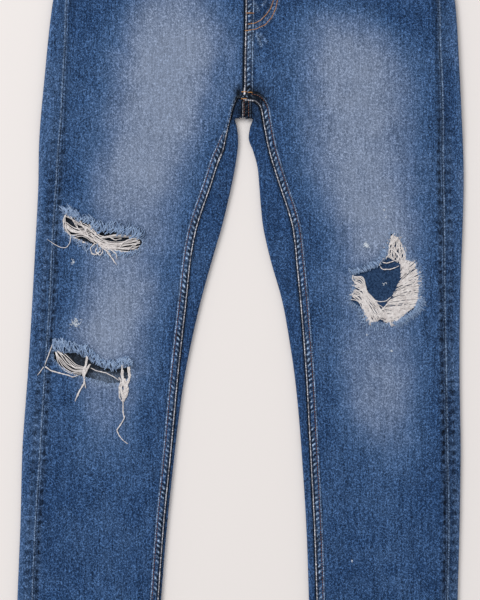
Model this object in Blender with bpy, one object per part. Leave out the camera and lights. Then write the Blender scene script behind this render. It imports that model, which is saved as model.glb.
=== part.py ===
"""Ripped jeans laid flat, face up: cut-and-sewn panels as thin walls.

Sizes are in millimetres and stations run down the garment from the top of the back waistband.
Across, x is 0 near the fly edge and grows towards the wearer's left.
The mesh is written in metres with +Y towards the waist, +Z up and z = 0 under the cloth.
"""
import math

import bpy
import bmesh
import numpy as np

for old in list(bpy.data.objects):
    bpy.data.objects.remove(old)

MM = 0.001

# Cloth and seams
CLOTH = 1.2
SEAM_GAP = 0.3
FOLD_RADIUS = 3.0
TUBE = 2.0 * FOLD_RADIUS
OUTSEAM_RIDGE = 0.5
OUTSEAM_RIDGE_WIDTH = 6.0
FELL_RIDGE = 1.0
FELL_WIDTH = 9.0
FELL_SLOPE = 1.0
HEM_RIDGE = 0.8
HEM_HEIGHT = 15.0

# Lengths down the garment
TOTAL_LENGTH = 1065.0
BAND_HEIGHT = 40.0
SIDE_DIP = 3.0
FRONT_DIP = 14.0
CROTCH_FOLD = 287.0
SEAT_END = 290.0
LEG_FLAT_START = 330.0
X_CENTRE = -7.2

# Waist
WAIST_CENTRE = 12.0
WAIST_HALF = 207.5
BAND_CLOTH = 2.5
BAND_PROUD = 0.9
BAND_LAP = 38.0
BAND_LAP_RAMP = 26.0
FLY_EDGE = 2.0
SEAT_SEAM = -2.0
BAND_FLARE = 0.011
LAP_FLAT = 4.0

# Patch pieces that lie under the seat
SEAT_LIFT = CLOTH + SEAM_GAP
POCKET_TOP = 118.0
POCKET_SIDE = 140.0
POCKET_TIP = 162.0
POCKET_TOP_WIDTH = 150.0
POCKET_LOW_WIDTH = 132.0
POCKET_OFFSET = 112.0
YOKE_AT_SIDE = 75.0
YOKE_AT_CENTRE = 105.0

# Front pocket openings
SCOOP_WIDTH = 108.0
SCOOP_END = 122.0
FACING_UNDERLAP = 8.0
FACING_TUCK = 4.0

LOOP_WIDTH = 12.0
LOOP_LENGTH = 53.0
LOOP_OFFSET = 104.0

BUTTON_RADIUS = 8.5
BUTTON_HEIGHT = 4.4
BUTTON_SHANK = 4.2

PATCH_CLOTH = 0.9
PATCH_LEFT = 73.0
PATCH_RIGHT = 214.0
PATCH_TOP = 405.0
PATCH_BOTTOM = 569.0

THREAD_DEPTH = 0.15
THREAD_THICK = 0.9
STRIP_WIDTH = 2.2
STRAND_WIDTH = 1.2

# Outer side of each leg: station, outer edge, outseam (distances from the fly line)
SIDE_COLUMNS = ("station", "outer_edge", "outseam")
RIGHT_SIDE = [
    (0.0, 195.5, 181.0),
    (40.0, 200.0, 185.0),
    (90.0, 216.0, 199.5),
    (145.0, 229.2, 211.9),
    (193.0, 235.2, 213.6),
    (236.0, 239.4, 216.0),
    (287.0, 244.2, 218.4),
    (325.0, 246.6, 222.0),
    (366.0, 247.2, 224.4),
    (416.0, 249.6, 228.0),
    (505.0, 254.4, 232.2),
    (596.0, 260.0, 238.2),
    (685.0, 266.4, 243.6),
    (776.0, 268.8, 249.6),
    (865.0, 272.4, 253.2),
    (1065.0, 278.4, 260.4),
]
LEFT_SIDE = [
    (0.0, 219.5, 202.0),
    (40.0, 224.0, 206.0),
    (90.0, 240.0, 221.0),
    (145.0, 253.2, 232.6),
    (193.0, 256.8, 234.0),
    (236.0, 259.2, 236.2),
    (287.0, 261.6, 237.4),
    (325.0, 263.4, 237.4),
    (366.0, 264.0, 238.2),
    (416.0, 262.8, 239.2),
    (505.0, 259.8, 240.0),
    (596.0, 259.2, 241.7),
    (685.0, 260.4, 243.2),
    (776.0, 259.2, 244.8),
    (865.0, 256.8, 243.1),
    (1065.0, 253.2, 240.0),
]

# Inner side of each leg: station, inseam, inner edge
INNER_COLUMNS = ("station", "inseam", "inner_edge")
RIGHT_INNER = [
    (301.0, 19.8, 7.6),
    (315.0, 22.5, 6.9),
    (325.0, 24.5, 7.6),
    (338.0, 30.0, 9.4),
    (366.0, 39.0, 14.6),
    (416.0, 55.8, 26.4),
    (453.0, 63.2, 37.2),
    (505.0, 68.8, 51.6),
    (596.0, 78.8, 71.2),
    (685.0, 87.0, 82.8),
    (776.0, 96.0, 92.4),
    (865.0, 102.5, 99.6),
    (1065.0, 116.0, 112.8),
]
LEFT_INNER = [
    (301.0, 24.6, 6.2),
    (313.0, 27.0, 5.8),
    (325.0, 29.6, 10.6),
    (338.0, 33.2, 15.0),
    (366.0, 42.0, 18.2),
    (416.0, 57.6, 22.8),
    (463.0, 63.1, 33.6),
    (505.0, 67.2, 45.6),
    (596.0, 74.4, 60.8),
    (685.0, 79.2, 69.0),
    (776.0, 84.0, 74.8),
    (865.0, 87.0, 78.0),
    (1065.0, 92.4, 84.0),
]

# Rows that turn round the crotch fold, from centre back to the leg.
# outer: station of the row at the outseam; fold_x, fold_s: where it meets the fold;
# turn: direction the fold faces, 0 down the garment and 90 into the gap between the legs;
# end_x, end_s: where it ends on the face, at the rise seam or at the inseam.
# The row where the rise seam meets the inseam is the crossing row.
FAN_COLUMNS = ("outer", "fold_x", "fold_s", "turn", "end_x", "end_s")
CROSSING_ROW = 2
RIGHT_FAN = [
    (274.0, 5.2, 287.0, 0.0, 2.0, 280.0),
    (281.0, 7.2, 287.0, 0.0, 2.0, 271.0),
    (288.0, 9.2, 287.0, 0.0, 1.0, 262.0),
    (294.0, 10.8, 288.2, 45.0, 8.0, 263.0),
    (299.0, 10.0, 292.0, 80.0, 13.4, 275.0),
    (304.0, 8.6, 297.0, 90.0, 16.6, 288.0),
]
LEFT_FAN = [
    (274.0, 1.8, 287.0, 0.0, -2.0, 280.0),
    (281.0, 4.8, 287.0, 0.0, -2.0, 273.0),
    (288.0, 7.8, 287.0, 0.0, -0.7, 265.0),
    (294.0, 10.6, 288.2, 45.0, 14.4, 267.5),
    (299.0, 9.2, 292.2, 80.0, 20.0, 275.5),
    (304.0, 7.4, 297.0, 90.0, 22.2, 287.0),
]

# Rows of the seat: station at the outseam, station at the centre
SEAT_ROWS = [(145.0, 180.0), (175.0, 197.0), (205.0, 214.0), (235.0, 232.0)]
LEG_STATIONS = [312.0, 325.0, 345.0, 366.0, 391.0, 416.0, 440.0, 463.0, 505.0, 550.0, 596.0, 640.0,
                685.0, 776.0, 865.0, 965.0]

# Rips: outlines as x and station, the right leg's x counted from the fly line outwards
RIP_COLUMNS = ("x", "station")
THIGH_RIP = [(-216.0, 399.4), (-204.4, 403.5), (-198.0, 409.0), (-186.0, 412.6), (-177.6, 421.0),
             (-160.8, 422.2), (-144.0, 425.8), (-127.2, 428.2), (-122.4, 435.4), (-127.2, 445.0),
             (-141.6, 448.0), (-160.0, 445.6), (-186.0, 437.8), (-206.4, 429.4), (-216.0, 421.0)]
RIGHT_KNEE_RIP = [(-229.0, 566.2), (-211.2, 568.6), (-200.4, 568.6), (-190.8, 573.4),
                  (-181.2, 579.4), (-168.6, 586.6), (-153.0, 587.8), (-137.4, 585.4),
                  (-135.6, 596.2), (-146.4, 604.6), (-163.2, 605.0), (-184.8, 599.0),
                  (-203.0, 594.0), (-218.4, 586.0), (-228.0, 576.0)]
LEFT_KNEE_RIP = [(176.4, 424.6), (186.4, 430.2), (191.8, 444.4), (194.2, 457.0), (204.8, 459.2),
                 (210.0, 475.0), (210.0, 502.6), (202.8, 519.4), (183.6, 530.2), (169.2, 533.8),
                 (150.0, 532.6), (140.4, 515.0), (127.2, 506.2), (133.4, 491.8), (130.8, 473.8),
                 (145.2, 470.2), (163.2, 461.8), (171.6, 448.6)]
KNEE_OPENING = [(136.0, 474.0), (155.0, 471.0), (176.0, 464.0), (192.0, 461.5), (188.0, 474.0),
                (183.0, 497.0), (170.0, 504.0), (151.0, 500.0), (146.0, 488.0)]

# Soft troughs in the face of the cloth: from, to, half width, depth
CREASE_COLUMNS = ("x0", "s0", "x1", "s1", "half_width", "depth")
CREASES = [
    (-20.0, 250.0, -120.0, 215.0, 9.0, 0.9),
    (-24.0, 275.0, -150.0, 262.0, 10.0, 0.8),
    (-30.0, 305.0, -130.0, 318.0, 9.0, 0.7),
    (22.0, 252.0, 115.0, 222.0, 9.0, 0.9),
    (32.0, 282.0, 150.0, 275.0, 10.0, 0.8),
    (38.0, 312.0, 140.0, 330.0, 9.0, 0.7),
    (-110.0, 640.0, -220.0, 652.0, 12.0, 0.8),
    (-115.0, 720.0, -215.0, 705.0, 12.0, 0.7),
    (100.0, 640.0, 215.0, 628.0, 12.0, 0.8),
    (105.0, 700.0, 205.0, 715.0, 12.0, 0.7),
]


def column(table, names, name):
    index = names.index(name)
    return [row[index] for row in table]


def smooth_curve(xs, ys, x):
    """Cubic through the points, with slopes from the neighbours."""
    if x <= xs[0]:
        return ys[0]
    if x >= xs[-1]:
        return ys[-1]
    i = max(k for k in range(len(xs) - 1) if xs[k] <= x)

    def slope(k):
        a = max(k - 1, 0)
        b = min(k + 1, len(xs) - 1)
        return (ys[b] - ys[a]) / (xs[b] - xs[a])

    span = xs[i + 1] - xs[i]
    t = (x - xs[i]) / span
    t2 = t * t
    t3 = t2 * t
    return ((2 * t3 - 3 * t2 + 1) * ys[i] + (t3 - 2 * t2 + t) * span * slope(i)
            + (3 * t2 - 2 * t3) * ys[i + 1] + (t3 - t2) * span * slope(i + 1))


def smooth_step(low, high, value):
    t = min(max((value - low) / (high - low), 0.0), 1.0)
    return t * t * (3.0 - 2.0 * t)


def mix(a, b, t):
    return a + (b - a) * t


class Half:
    """One side of the garment, with distances mirrored by its sign."""

    def __init__(self, name, sign, side, inner, fan, centre):
        self.name = name
        self.sign = sign
        self.side = side
        self.inner = inner
        self.fan = fan
        self.centre = centre

    def along_side(self, name, s):
        stations = column(self.side, SIDE_COLUMNS, "station")
        return self.sign * smooth_curve(stations, column(self.side, SIDE_COLUMNS, name), s)

    def along_inner(self, name, s):
        stations = column(self.inner, INNER_COLUMNS, "station")
        return self.sign * smooth_curve(stations, column(self.inner, INNER_COLUMNS, name), s)


RIGHT = Half("right", -1.0, RIGHT_SIDE, RIGHT_INNER, RIGHT_FAN, SEAT_SEAM)
LEFT = Half("left", 1.0, LEFT_SIDE, LEFT_INNER, LEFT_FAN, SEAT_SEAM)


def base(s):
    """Height of the underside: the seat lies on its pockets and loops, the legs on the table."""
    return SEAT_LIFT * (1.0 - smooth_step(SEAT_END, LEG_FLAT_START, s))


def crease(x, s):
    depth = 0.0
    for x0, s0, x1, s1, half_width, deep in CREASES:
        length = math.hypot(x1 - x0, s1 - s0)
        ux = (x1 - x0) / length
        us = (s1 - s0) / length
        along = (x - x0) * ux + (s - s0) * us
        across = (s - s0) * ux - (x - x0) * us
        ends = smooth_step(0.0, 0.25 * length, along) * (1.0 - smooth_step(0.75 * length, length, along))
        depth += deep * ends * math.exp(-(across / half_width) ** 2)
    return -depth


def face(x, s):
    """Height of the cloth's upper face, without seams."""
    return base(s) + TUBE + crease(x, s)


def place(x, s, z):
    return ((x - X_CENTRE) * MM, (TOTAL_LENGTH / 2.0 - s) * MM, z * MM)


def band_dip(x, on_face):
    r = min(abs(x - WAIST_CENTRE) / WAIST_HALF, 1.0)
    if on_face:
        return SIDE_DIP + (FRONT_DIP - SIDE_DIP) * (1.0 - r * r)
    return SIDE_DIP * r * r


def band_seam(x, on_face):
    return band_dip(x, on_face) + BAND_HEIGHT + SEAM_GAP


def material(name, colour, roughness, metallic=0.0):
    found = bpy.data.materials.get(name)
    if found:
        return found
    made = bpy.data.materials.new(name)
    made.use_nodes = True
    shader = made.node_tree.nodes["Principled BSDF"]
    shader.inputs["Base Color"].default_value = (*colour, 1.0)
    shader.inputs["Roughness"].default_value = roughness
    shader.inputs["Metallic"].default_value = metallic
    return made


def denim():
    return material("denim", (0.075, 0.13, 0.25), 0.85)


def finish(name, mesh, finish_material, smooth_angle=40.0):
    mesh.materials.append(finish_material)
    mesh.shade_smooth()
    mesh.set_sharp_from_angle(angle=math.radians(smooth_angle))
    made = bpy.data.objects.new(name, mesh)
    bpy.context.collection.objects.link(made)
    return made


def mesh_from(name, points, faces):
    bm = bmesh.new()
    verts = [bm.verts.new(place(*p)) for p in points]
    for f in faces:
        bm.faces.new([verts[i] for i in f])
    bmesh.ops.triangulate(bm, faces=bm.faces[:], quad_method="FIXED")
    bmesh.ops.recalc_face_normals(bm, faces=bm.faces[:])
    mesh = bpy.data.meshes.new(name)
    bm.to_mesh(mesh)
    bm.free()
    return mesh


def wall(name, outer, inner, finish_material):
    """A closed wall between two grids of the same size, outer and inner."""
    rows = len(outer)
    cols = len(outer[0])
    points = [p for row in outer for p in row] + [p for row in inner for p in row]
    half = rows * cols

    def at(i, j, inside):
        return i * cols + j + (half if inside else 0)

    faces = []
    for i in range(rows - 1):
        for j in range(cols - 1):
            faces.append((at(i, j, 0), at(i, j + 1, 0), at(i + 1, j + 1, 0), at(i + 1, j, 0)))
            faces.append((at(i, j, 1), at(i + 1, j, 1), at(i + 1, j + 1, 1), at(i, j + 1, 1)))
    for j in range(cols - 1):
        for i in (0, rows - 1):
            faces.append((at(i, j, 0), at(i, j, 1), at(i, j + 1, 1), at(i, j + 1, 0)))
    for i in range(rows - 1):
        for j in (0, cols - 1):
            faces.append((at(i, j, 0), at(i + 1, j, 0), at(i + 1, j, 1), at(i, j, 1)))
    return finish(name, mesh_from(name, points, faces), finish_material)


ARC = [math.radians(a) for a in (90.0, 45.0, 0.0, -45.0, -90.0)]


def outer_side(half, s_row, thick, hem):
    """Points and inner points from the outseam, over the edge and under it."""
    edge = half.along_side("outer_edge", s_row[0])
    seam = half.along_side("outseam", s_row[0]) + half.sign * SEAM_GAP / 2.0
    stop = edge - half.sign * FOLD_RADIUS
    samples = []
    for x, ridge in ((seam, OUTSEAM_RIDGE), (seam + half.sign * OUTSEAM_RIDGE_WIDTH, 0.0)):
        top = base(s_row[0]) + TUBE
        ridge = max(ridge, hem)
        samples.append(((x, s_row[0], top + ridge), (x, s_row[0], top - thick)))
    for angle in ARC:
        s = s_row[0]
        middle = base(s) + FOLD_RADIUS
        rim = FOLD_RADIUS
        inside = FOLD_RADIUS - thick
        swell = hem * max(math.sin(angle), 0.0)
        samples.append(((stop + half.sign * rim * math.cos(angle), s, middle + (rim + swell) * math.sin(angle)),
                        (stop + half.sign * inside * math.cos(angle), s, middle + inside * math.sin(angle))))
    return samples


def underside(start, stop, count, thick):
    """Points between two plan points on the underside, without its ends."""
    samples = []
    for k in range(1, count + 1):
        t = k / (count + 1)
        x = mix(start[0], stop[0], t)
        s = mix(start[1], stop[1], t)
        samples.append(((x, s, base(s)), (x, s, base(s) + thick)))
    return samples


UNDER_COUNT = 4
INNER_COUNT = 7


def back_row_flat(half, s_outer, s_inner):
    """A row of the seat: it ends on the underside at centre back."""
    samples = outer_side(half, [s_outer], CLOTH, 0.0)
    start = (samples[-1][0][0], s_outer)
    centre = half.centre + half.sign * SEAM_GAP / 2.0
    near = (centre + half.sign * 16.0, mix(s_inner, s_outer, 0.07))
    samples += underside(start, near, UNDER_COUNT, CLOTH)
    for k in range(INNER_COUNT):
        t = k / (INNER_COUNT - 1)
        x = mix(near[0], centre, t)
        s = mix(near[1], s_inner, t)
        samples.append(((x, s, base(s)), (x, s, base(s) + CLOTH)))
    return samples


def turned_point(half, fold, turn, angle, thick, shift):
    """A point on the fold, at an angle round it: -90 below, 90 above."""
    nx = -half.sign * math.sin(math.radians(turn))
    ns = math.cos(math.radians(turn))
    cx = fold[0] - nx * FOLD_RADIUS + shift[0]
    cs = fold[1] - ns * FOLD_RADIUS + shift[1]
    reach = (FOLD_RADIUS - thick) * math.cos(angle)
    rise = (FOLD_RADIUS - thick) * math.sin(angle)
    return (cx + nx * reach, cs + ns * reach, base(fold[1]) + FOLD_RADIUS + rise)


def back_row_corner(half, s_outer, fold_shift, last_angle):
    """A row that stops part way round the crotch fold, at the rise seam."""
    samples = outer_side(half, [s_outer], CLOTH, 0.0)
    start = (samples[-1][0][0], s_outer)
    centre = half.centre + half.sign * SEAM_GAP / 2.0
    fold = (centre + half.sign * fold_shift, CROTCH_FOLD)
    near = (centre + half.sign * 14.0, CROTCH_FOLD - FOLD_RADIUS - 1.5)
    samples += underside(start, near, UNDER_COUNT, CLOTH)
    samples.append(((near[0], near[1], base(near[1])), (near[0], near[1], base(near[1]) + CLOTH)))
    mid = (mix(near[0], fold[0], 0.5), mix(near[1], CROTCH_FOLD - FOLD_RADIUS, 0.5))
    samples.append(((mid[0], mid[1], base(mid[1])), (mid[0], mid[1], base(mid[1]) + CLOTH)))
    turned = INNER_COUNT - 2
    for k in range(turned):
        t = k / (turned - 1)
        angle = mix(math.radians(-90.0), math.radians(last_angle), t)
        shift = (-half.sign * fold_shift * t, 0.0)
        samples.append((turned_point(half, fold, 0.0, angle, 0.0, shift),
                        turned_point(half, fold, 0.0, angle, CLOTH, shift)))
    return samples


def back_row_turned(half, s_outer, fold, turn, end, hem=0.0):
    """A row that goes round the fold and ends on the face."""
    samples = outer_side(half, [s_outer], CLOTH, hem)
    start = (samples[-1][0][0], s_outer)
    under = turned_point(half, fold, turn, math.radians(-90.0), 0.0, (0.0, 0.0))
    samples += underside(start, under, UNDER_COUNT, CLOTH)
    for angle in reversed(ARC):
        outer = turned_point(half, fold, turn, angle, 0.0, (0.0, 0.0))
        outer = (outer[0], outer[1], outer[2] + hem * max(math.sin(angle), 0.0))
        samples.append((outer, turned_point(half, fold, turn, angle, CLOTH, (0.0, 0.0))))
    over = turned_point(half, fold, turn, math.radians(90.0), 0.0, (0.0, 0.0))
    for t in (0.5, 1.0):
        x = mix(over[0], end[0], t)
        s = mix(over[1], end[1], t)
        top = base(mix(fold[1], end[1], t)) + TUBE
        samples.append(((x, s, top + hem), (x, s, top - CLOTH)))
    return samples


def fan_rows(half):
    for outer, fold_x, fold_s, turn, end_x, end_s in half.fan:
        yield outer, (half.sign * fold_x, fold_s), turn, (half.sign * end_x, end_s)


def leg_rows(half):
    """Station, fold point and face end of each row down the leg, and its hem ridge."""
    stations = [(s, 0.0) for s in LEG_STATIONS]
    hem = TOTAL_LENGTH - HEM_HEIGHT
    stations += [(hem - FELL_SLOPE, 0.0), (hem, HEM_RIDGE), (TOTAL_LENGTH, HEM_RIDGE)]
    for s, ridge in stations:
        fold = (half.along_inner("inner_edge", s), s)
        yield s, fold, (half.along_inner("inseam", s), s), ridge


def seam_side(point, half, offset):
    """Moves a seam point across the inseam, away from the leg when offset is positive."""
    return (point[0] - half.sign * offset, point[1])


def back_panel(half):
    rows = []
    yoke_shift = SEAM_GAP / 2.0
    rows.append(seat_seam_row(half, yoke_shift))
    rows.append(back_row_flat(half, 98.0, 124.0))
    rows.append(back_row_flat(half, SCOOP_END, 142.0))
    for s_outer, s_inner in SEAT_ROWS:
        rows.append(back_row_flat(half, s_outer, s_inner))
    rows.append(back_row_flat(half, 256.0, 270.0))
    rows.append(back_row_flat(half, 262.0, CROTCH_FOLD - FOLD_RADIUS - 0.5))
    rows.append(back_row_corner(half, 266.0, 1.0, -20.0))
    rows.append(back_row_corner(half, 270.0, 2.0, 70.0))
    for k, (outer, fold, turn, end) in enumerate(fan_rows(half)):
        across = half.sign if k <= CROSSING_ROW else -half.sign
        down = 1.0 if k >= CROSSING_ROW else 0.0
        end = (end[0] + across * SEAM_GAP / 2.0, end[1] + down * SEAM_GAP / 2.0)
        rows.append(back_row_turned(half, outer, fold, turn, end))
    for s, fold, end, ridge in leg_rows(half):
        rows.append(back_row_turned(half, s, fold, 90.0, seam_side(end, half, SEAM_GAP / 2.0), ridge))
    outer = [[p[0] for p in row] for row in rows]
    inner = [[p[1] for p in row] for row in rows]
    return wall("back_" + half.name, outer, inner, denim())


def yoke_station(half, x):
    """The yoke seam falls from the side to centre back."""
    edge = half.along_side("outer_edge", YOKE_AT_SIDE)
    t = min(max(1.0 - (x - half.centre) / (edge - half.centre), 0.0), 1.0)
    return mix(YOKE_AT_SIDE, YOKE_AT_CENTRE, t)


def side_row(half, station_of):
    """A row whose station changes from the outseam to centre back."""
    s = station_of(half.along_side("outseam", YOKE_AT_SIDE), True)
    samples = []
    edge = half.along_side("outer_edge", s)
    seam = half.along_side("outseam", s) + half.sign * SEAM_GAP / 2.0
    stop = edge - half.sign * FOLD_RADIUS
    for x, ridge in ((seam, OUTSEAM_RIDGE), (seam + half.sign * OUTSEAM_RIDGE_WIDTH, 0.0)):
        s = station_of(x, True)
        top = base(s) + TUBE
        samples.append(((x, s, top + ridge), (x, s, top - CLOTH)))
    s = station_of(edge, True)
    for angle in ARC:
        middle = base(s) + FOLD_RADIUS
        inside = FOLD_RADIUS - CLOTH
        samples.append(((stop + half.sign * FOLD_RADIUS * math.cos(angle), s,
                         middle + FOLD_RADIUS * math.sin(angle)),
                        (stop + half.sign * inside * math.cos(angle), s,
                         middle + inside * math.sin(angle))))
    centre = half.centre + half.sign * SEAM_GAP / 2.0
    near = centre + half.sign * 16.0
    for k in range(1, UNDER_COUNT + INNER_COUNT + 1):
        if k <= UNDER_COUNT:
            x = mix(stop, near, k / (UNDER_COUNT + 1))
        else:
            x = mix(near, centre, (k - UNDER_COUNT - 1) / (INNER_COUNT - 1))
        s = station_of(x, False)
        samples.append(((x, s, base(s)), (x, s, base(s) + CLOTH)))
    return samples


def seat_seam_row(half, shift):
    return side_row(half, lambda x, on_face: yoke_station(half, x) + shift)


def yoke(half):
    rows = []
    count = 3
    for k in range(count + 1):
        t = k / count

        def station_of(x, on_face, t=t):
            return mix(band_seam(x, on_face), yoke_station(half, x) - SEAM_GAP / 2.0, t)

        rows.append(side_row(half, station_of))
    outer = [[p[0] for p in row] for row in rows]
    inner = [[p[1] for p in row] for row in rows]
    return wall("yoke_" + half.name, outer, inner, denim())


def fly_x(s):
    return mix(FLY_EDGE, 0.5, smooth_step(145.0, 245.0, s))


def scoop(half, t, offset=0.0):
    """The pocket opening's edge, from the waistband to the side seam, and its offset into the front."""
    side = half.along_side("outseam", SCOOP_END) - half.sign * SEAM_GAP / 2.0
    start = half.along_side("outseam", BAND_HEIGHT) - half.sign * SCOOP_WIDTH
    top = band_seam(start, True)
    turn = t * math.pi / 2.0
    x = start + (side - start) * (1.0 - math.cos(turn)) - half.sign * offset * math.cos(turn)
    s = top + (SCOOP_END - top) * math.sin(turn) + offset * math.sin(turn)
    return x, s


FRONT_SPREAD = (0.12, 0.28, 0.44, 0.6, 0.76, 0.9)


def front_row(half, start, end, start_ridge, end_ridge, hem=0.0, seam_top=False):
    """A row of the front from its outer end to its inner end, with ridges at both seams."""
    length = math.hypot(end[0] - start[0], end[1] - start[1])
    stops = [(0.0, start_ridge), (OUTSEAM_RIDGE_WIDTH / length, 0.0)]
    low = stops[-1][0]
    high = 1.0 - (FELL_WIDTH + FELL_SLOPE) / length
    stops += [(mix(low, high, f), 0.0) for f in FRONT_SPREAD]
    stops += [(high, 0.0), (1.0 - FELL_WIDTH / length, end_ridge), (1.0, end_ridge)]
    samples = []
    for t, ridge in stops:
        x = mix(start[0], end[0], t)
        s = mix(start[1], end[1], t)
        if seam_top:
            s = band_seam(x, True)
        window = smooth_step(0.0, 0.1, t) * (1.0 - smooth_step(0.92, 1.0, t))
        top = mix(base(s) + TUBE, face(x, s), window)
        samples.append(((x, s, top + max(ridge, hem)), (x, s, top - CLOTH)))
    return samples


def front_panel(half):
    rows = []
    laps_over = half is LEFT
    edge_ridge = FELL_RIDGE if laps_over else 0.0

    def fly_end(s):
        return (fly_x(s) + half.sign * SEAM_GAP / 2.0, s)

    scoop_rows = 6
    fly_top = band_seam(FLY_EDGE, True)
    for k in range(scoop_rows + 1):
        t = k / scoop_rows
        start = scoop(half, t)
        end = fly_end(mix(fly_top, 165.0, t))
        rows.append(front_row(half, start, end, OUTSEAM_RIDGE, edge_ridge, seam_top=(k == 0)))
    outseam_gap = half.sign * SEAM_GAP / 2.0
    for s_outer, s_inner in SEAT_ROWS + [(262.0, 248.0)]:
        start = (half.along_side("outseam", s_outer) - outseam_gap, s_outer)
        rows.append(front_row(half, start, fly_end(s_inner), OUTSEAM_RIDGE, edge_ridge))
    for outer, fold, turn, end in list(fan_rows(half))[CROSSING_ROW:]:
        start = (half.along_side("outseam", outer) - outseam_gap, outer)
        end = (end[0] + outseam_gap, end[1] - SEAM_GAP / 2.0)
        rows.append(front_row(half, start, end, OUTSEAM_RIDGE, FELL_RIDGE))
    for s, fold, end, ridge in leg_rows(half):
        start = (half.along_side("outseam", s) - outseam_gap, s)
        rows.append(front_row(half, start, seam_side(end, half, -SEAM_GAP / 2.0),
                              OUTSEAM_RIDGE, FELL_RIDGE, ridge))
    outer = [[p[0] for p in row] for row in rows]
    inner = [[p[1] for p in row] for row in rows]
    return wall("front_" + half.name, outer, inner, denim())


def pocket_facing(half):
    """The denim facing inside the front pocket opening, tucked under the cloth on both sides."""
    drop = CLOTH + SEAM_GAP
    first = band_seam(half.along_side("outseam", BAND_HEIGHT), True)
    last = SCOOP_END + FACING_UNDERLAP
    outer = []
    inner = []
    for k in range(7):
        t = k / 6.0
        start = scoop(half, t, FACING_UNDERLAP)
        s_side = mix(first, last, t)
        end = (half.along_side("outseam", s_side) + half.sign * FACING_TUCK, s_side)
        row = []
        for u in (0.0, 0.33, 0.66, 1.0):
            x = mix(start[0], end[0], u)
            s = band_seam(x, True) if k == 0 else mix(start[1], end[1], u)
            row.append((x, s, base(s) + TUBE - drop))
        outer.append(row)
        inner.append([(x, s, z - CLOTH) for x, s, z in row])
    return wall("pocket_facing_" + half.name, outer, inner, denim())


def waistband():
    """One band round the waist: its right end runs under its left end at the fly."""
    s_mid = BAND_HEIGHT / 2.0
    left_edge = LEFT.along_side("outer_edge", s_mid)
    right_edge = RIGHT.along_side("outer_edge", s_mid)
    path = []
    steps = 6
    lap = BAND_CLOTH + SEAM_GAP
    floor = base(0.0)
    top = floor + TUBE + BAND_PROUD
    rim = (top - floor) / 2.0
    for k in range(steps + 1):
        x = mix(BAND_LAP, right_edge + rim, k / steps)
        path.append((x, top, 0.0, 1.0, True))
    for angle in (45.0, 0.0, -45.0):
        a = math.radians(angle)
        path.append((right_edge + rim - rim * math.cos(a), floor + rim + rim * math.sin(a),
                     -math.cos(a), math.sin(a), None))
    for k in range(2 * steps + 1):
        path.append((mix(right_edge + rim, left_edge - rim, k / (2 * steps)), floor, 0.0, -1.0, False))
    for angle in (-45.0, 0.0, 45.0):
        a = math.radians(angle)
        path.append((left_edge - rim + rim * math.cos(a), floor + rim + rim * math.sin(a),
                     math.cos(a), math.sin(a), None))
    flat_end = BAND_LAP + LAP_FLAT
    ramp_start = flat_end + BAND_LAP_RAMP
    xs = [mix(left_edge - rim, ramp_start, k / 4.0) for k in range(5)]
    xs += [mix(ramp_start, flat_end, 0.5), flat_end, mix(flat_end, FLY_EDGE, 0.5), FLY_EDGE]
    for x in xs:
        rise = lap * (1.0 - smooth_step(flat_end, ramp_start, x))
        path.append((x, top + rise, 0.0, 1.0, True))
    outer = [[], [], []]
    inner = [[], [], []]
    for x, z, nx, nz, on_face in path:
        dip = SIDE_DIP if on_face is None else band_dip(x, on_face)
        for r in range(3):
            s = dip + BAND_HEIGHT * r / 2.0
            wide = WAIST_CENTRE + (x - WAIST_CENTRE) * (1.0 + BAND_FLARE * (r - 1))
            outer[r].append((wide, s, z))
            inner[r].append((wide - nx * BAND_CLOTH, s, z - nz * BAND_CLOTH))
    return wall("waistband", outer, inner, denim())


def strip_slab(name, rows, finish_material):
    """A slab from rows of (left x, right x, station, underside z, top z)."""
    outer = [[(a, s, top), (b, s, top)] for a, b, s, low, top in rows]
    inner = [[(a, s, low), (b, s, low)] for a, b, s, low, top in rows]
    return wall(name, outer, inner, finish_material)


def belt_loops():
    proud = base(0.0) + TUBE + BAND_PROUD + SEAM_GAP
    low = base(0.0) + TUBE + OUTSEAM_RIDGE + SEAM_GAP
    for name, x in (("belt_loop_front_right", WAIST_CENTRE - LOOP_OFFSET),
                    ("belt_loop_front_left", WAIST_CENTRE + LOOP_OFFSET)):
        dip = band_dip(x, True)
        rows = []
        for down, z in ((1.0, proud), (BAND_HEIGHT + 1.0, proud), (BAND_HEIGHT + 5.0, low),
                        (LOOP_LENGTH, low)):
            rows.append((x - LOOP_WIDTH / 2.0, x + LOOP_WIDTH / 2.0, dip + down, z, z + CLOTH))
        strip_slab(name, rows, denim())
    for name, x in (("belt_loop_back_right", WAIST_CENTRE - LOOP_OFFSET),
                    ("belt_loop_back_left", WAIST_CENTRE + LOOP_OFFSET),
                    ("belt_loop_centre_back", SEAT_SEAM)):
        dip = band_dip(x, False)
        rows = [(x - LOOP_WIDTH / 2.0, x + LOOP_WIDTH / 2.0, dip + down, 0.0, CLOTH)
                for down in (1.0, LOOP_LENGTH)]
        strip_slab(name, rows, denim())


def back_pocket(half):
    x = half.centre + half.sign * POCKET_OFFSET
    top = POCKET_TOP
    rows = [(x - POCKET_TOP_WIDTH / 2.0, x, x + POCKET_TOP_WIDTH / 2.0, top, top),
            (x - POCKET_LOW_WIDTH / 2.0, x, x + POCKET_LOW_WIDTH / 2.0,
             top + POCKET_SIDE, top + POCKET_TIP)]
    outer = []
    inner = []
    for a, m, b, s_side, s_mid in rows:
        outer.append([(a, s_side, 0.0), (m, s_mid, 0.0), (b, s_side, 0.0)])
        inner.append([(a, s_side, CLOTH), (m, s_mid, CLOTH), (b, s_side, CLOTH)])
    return wall("back_pocket_" + half.name, outer, inner, denim())


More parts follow.
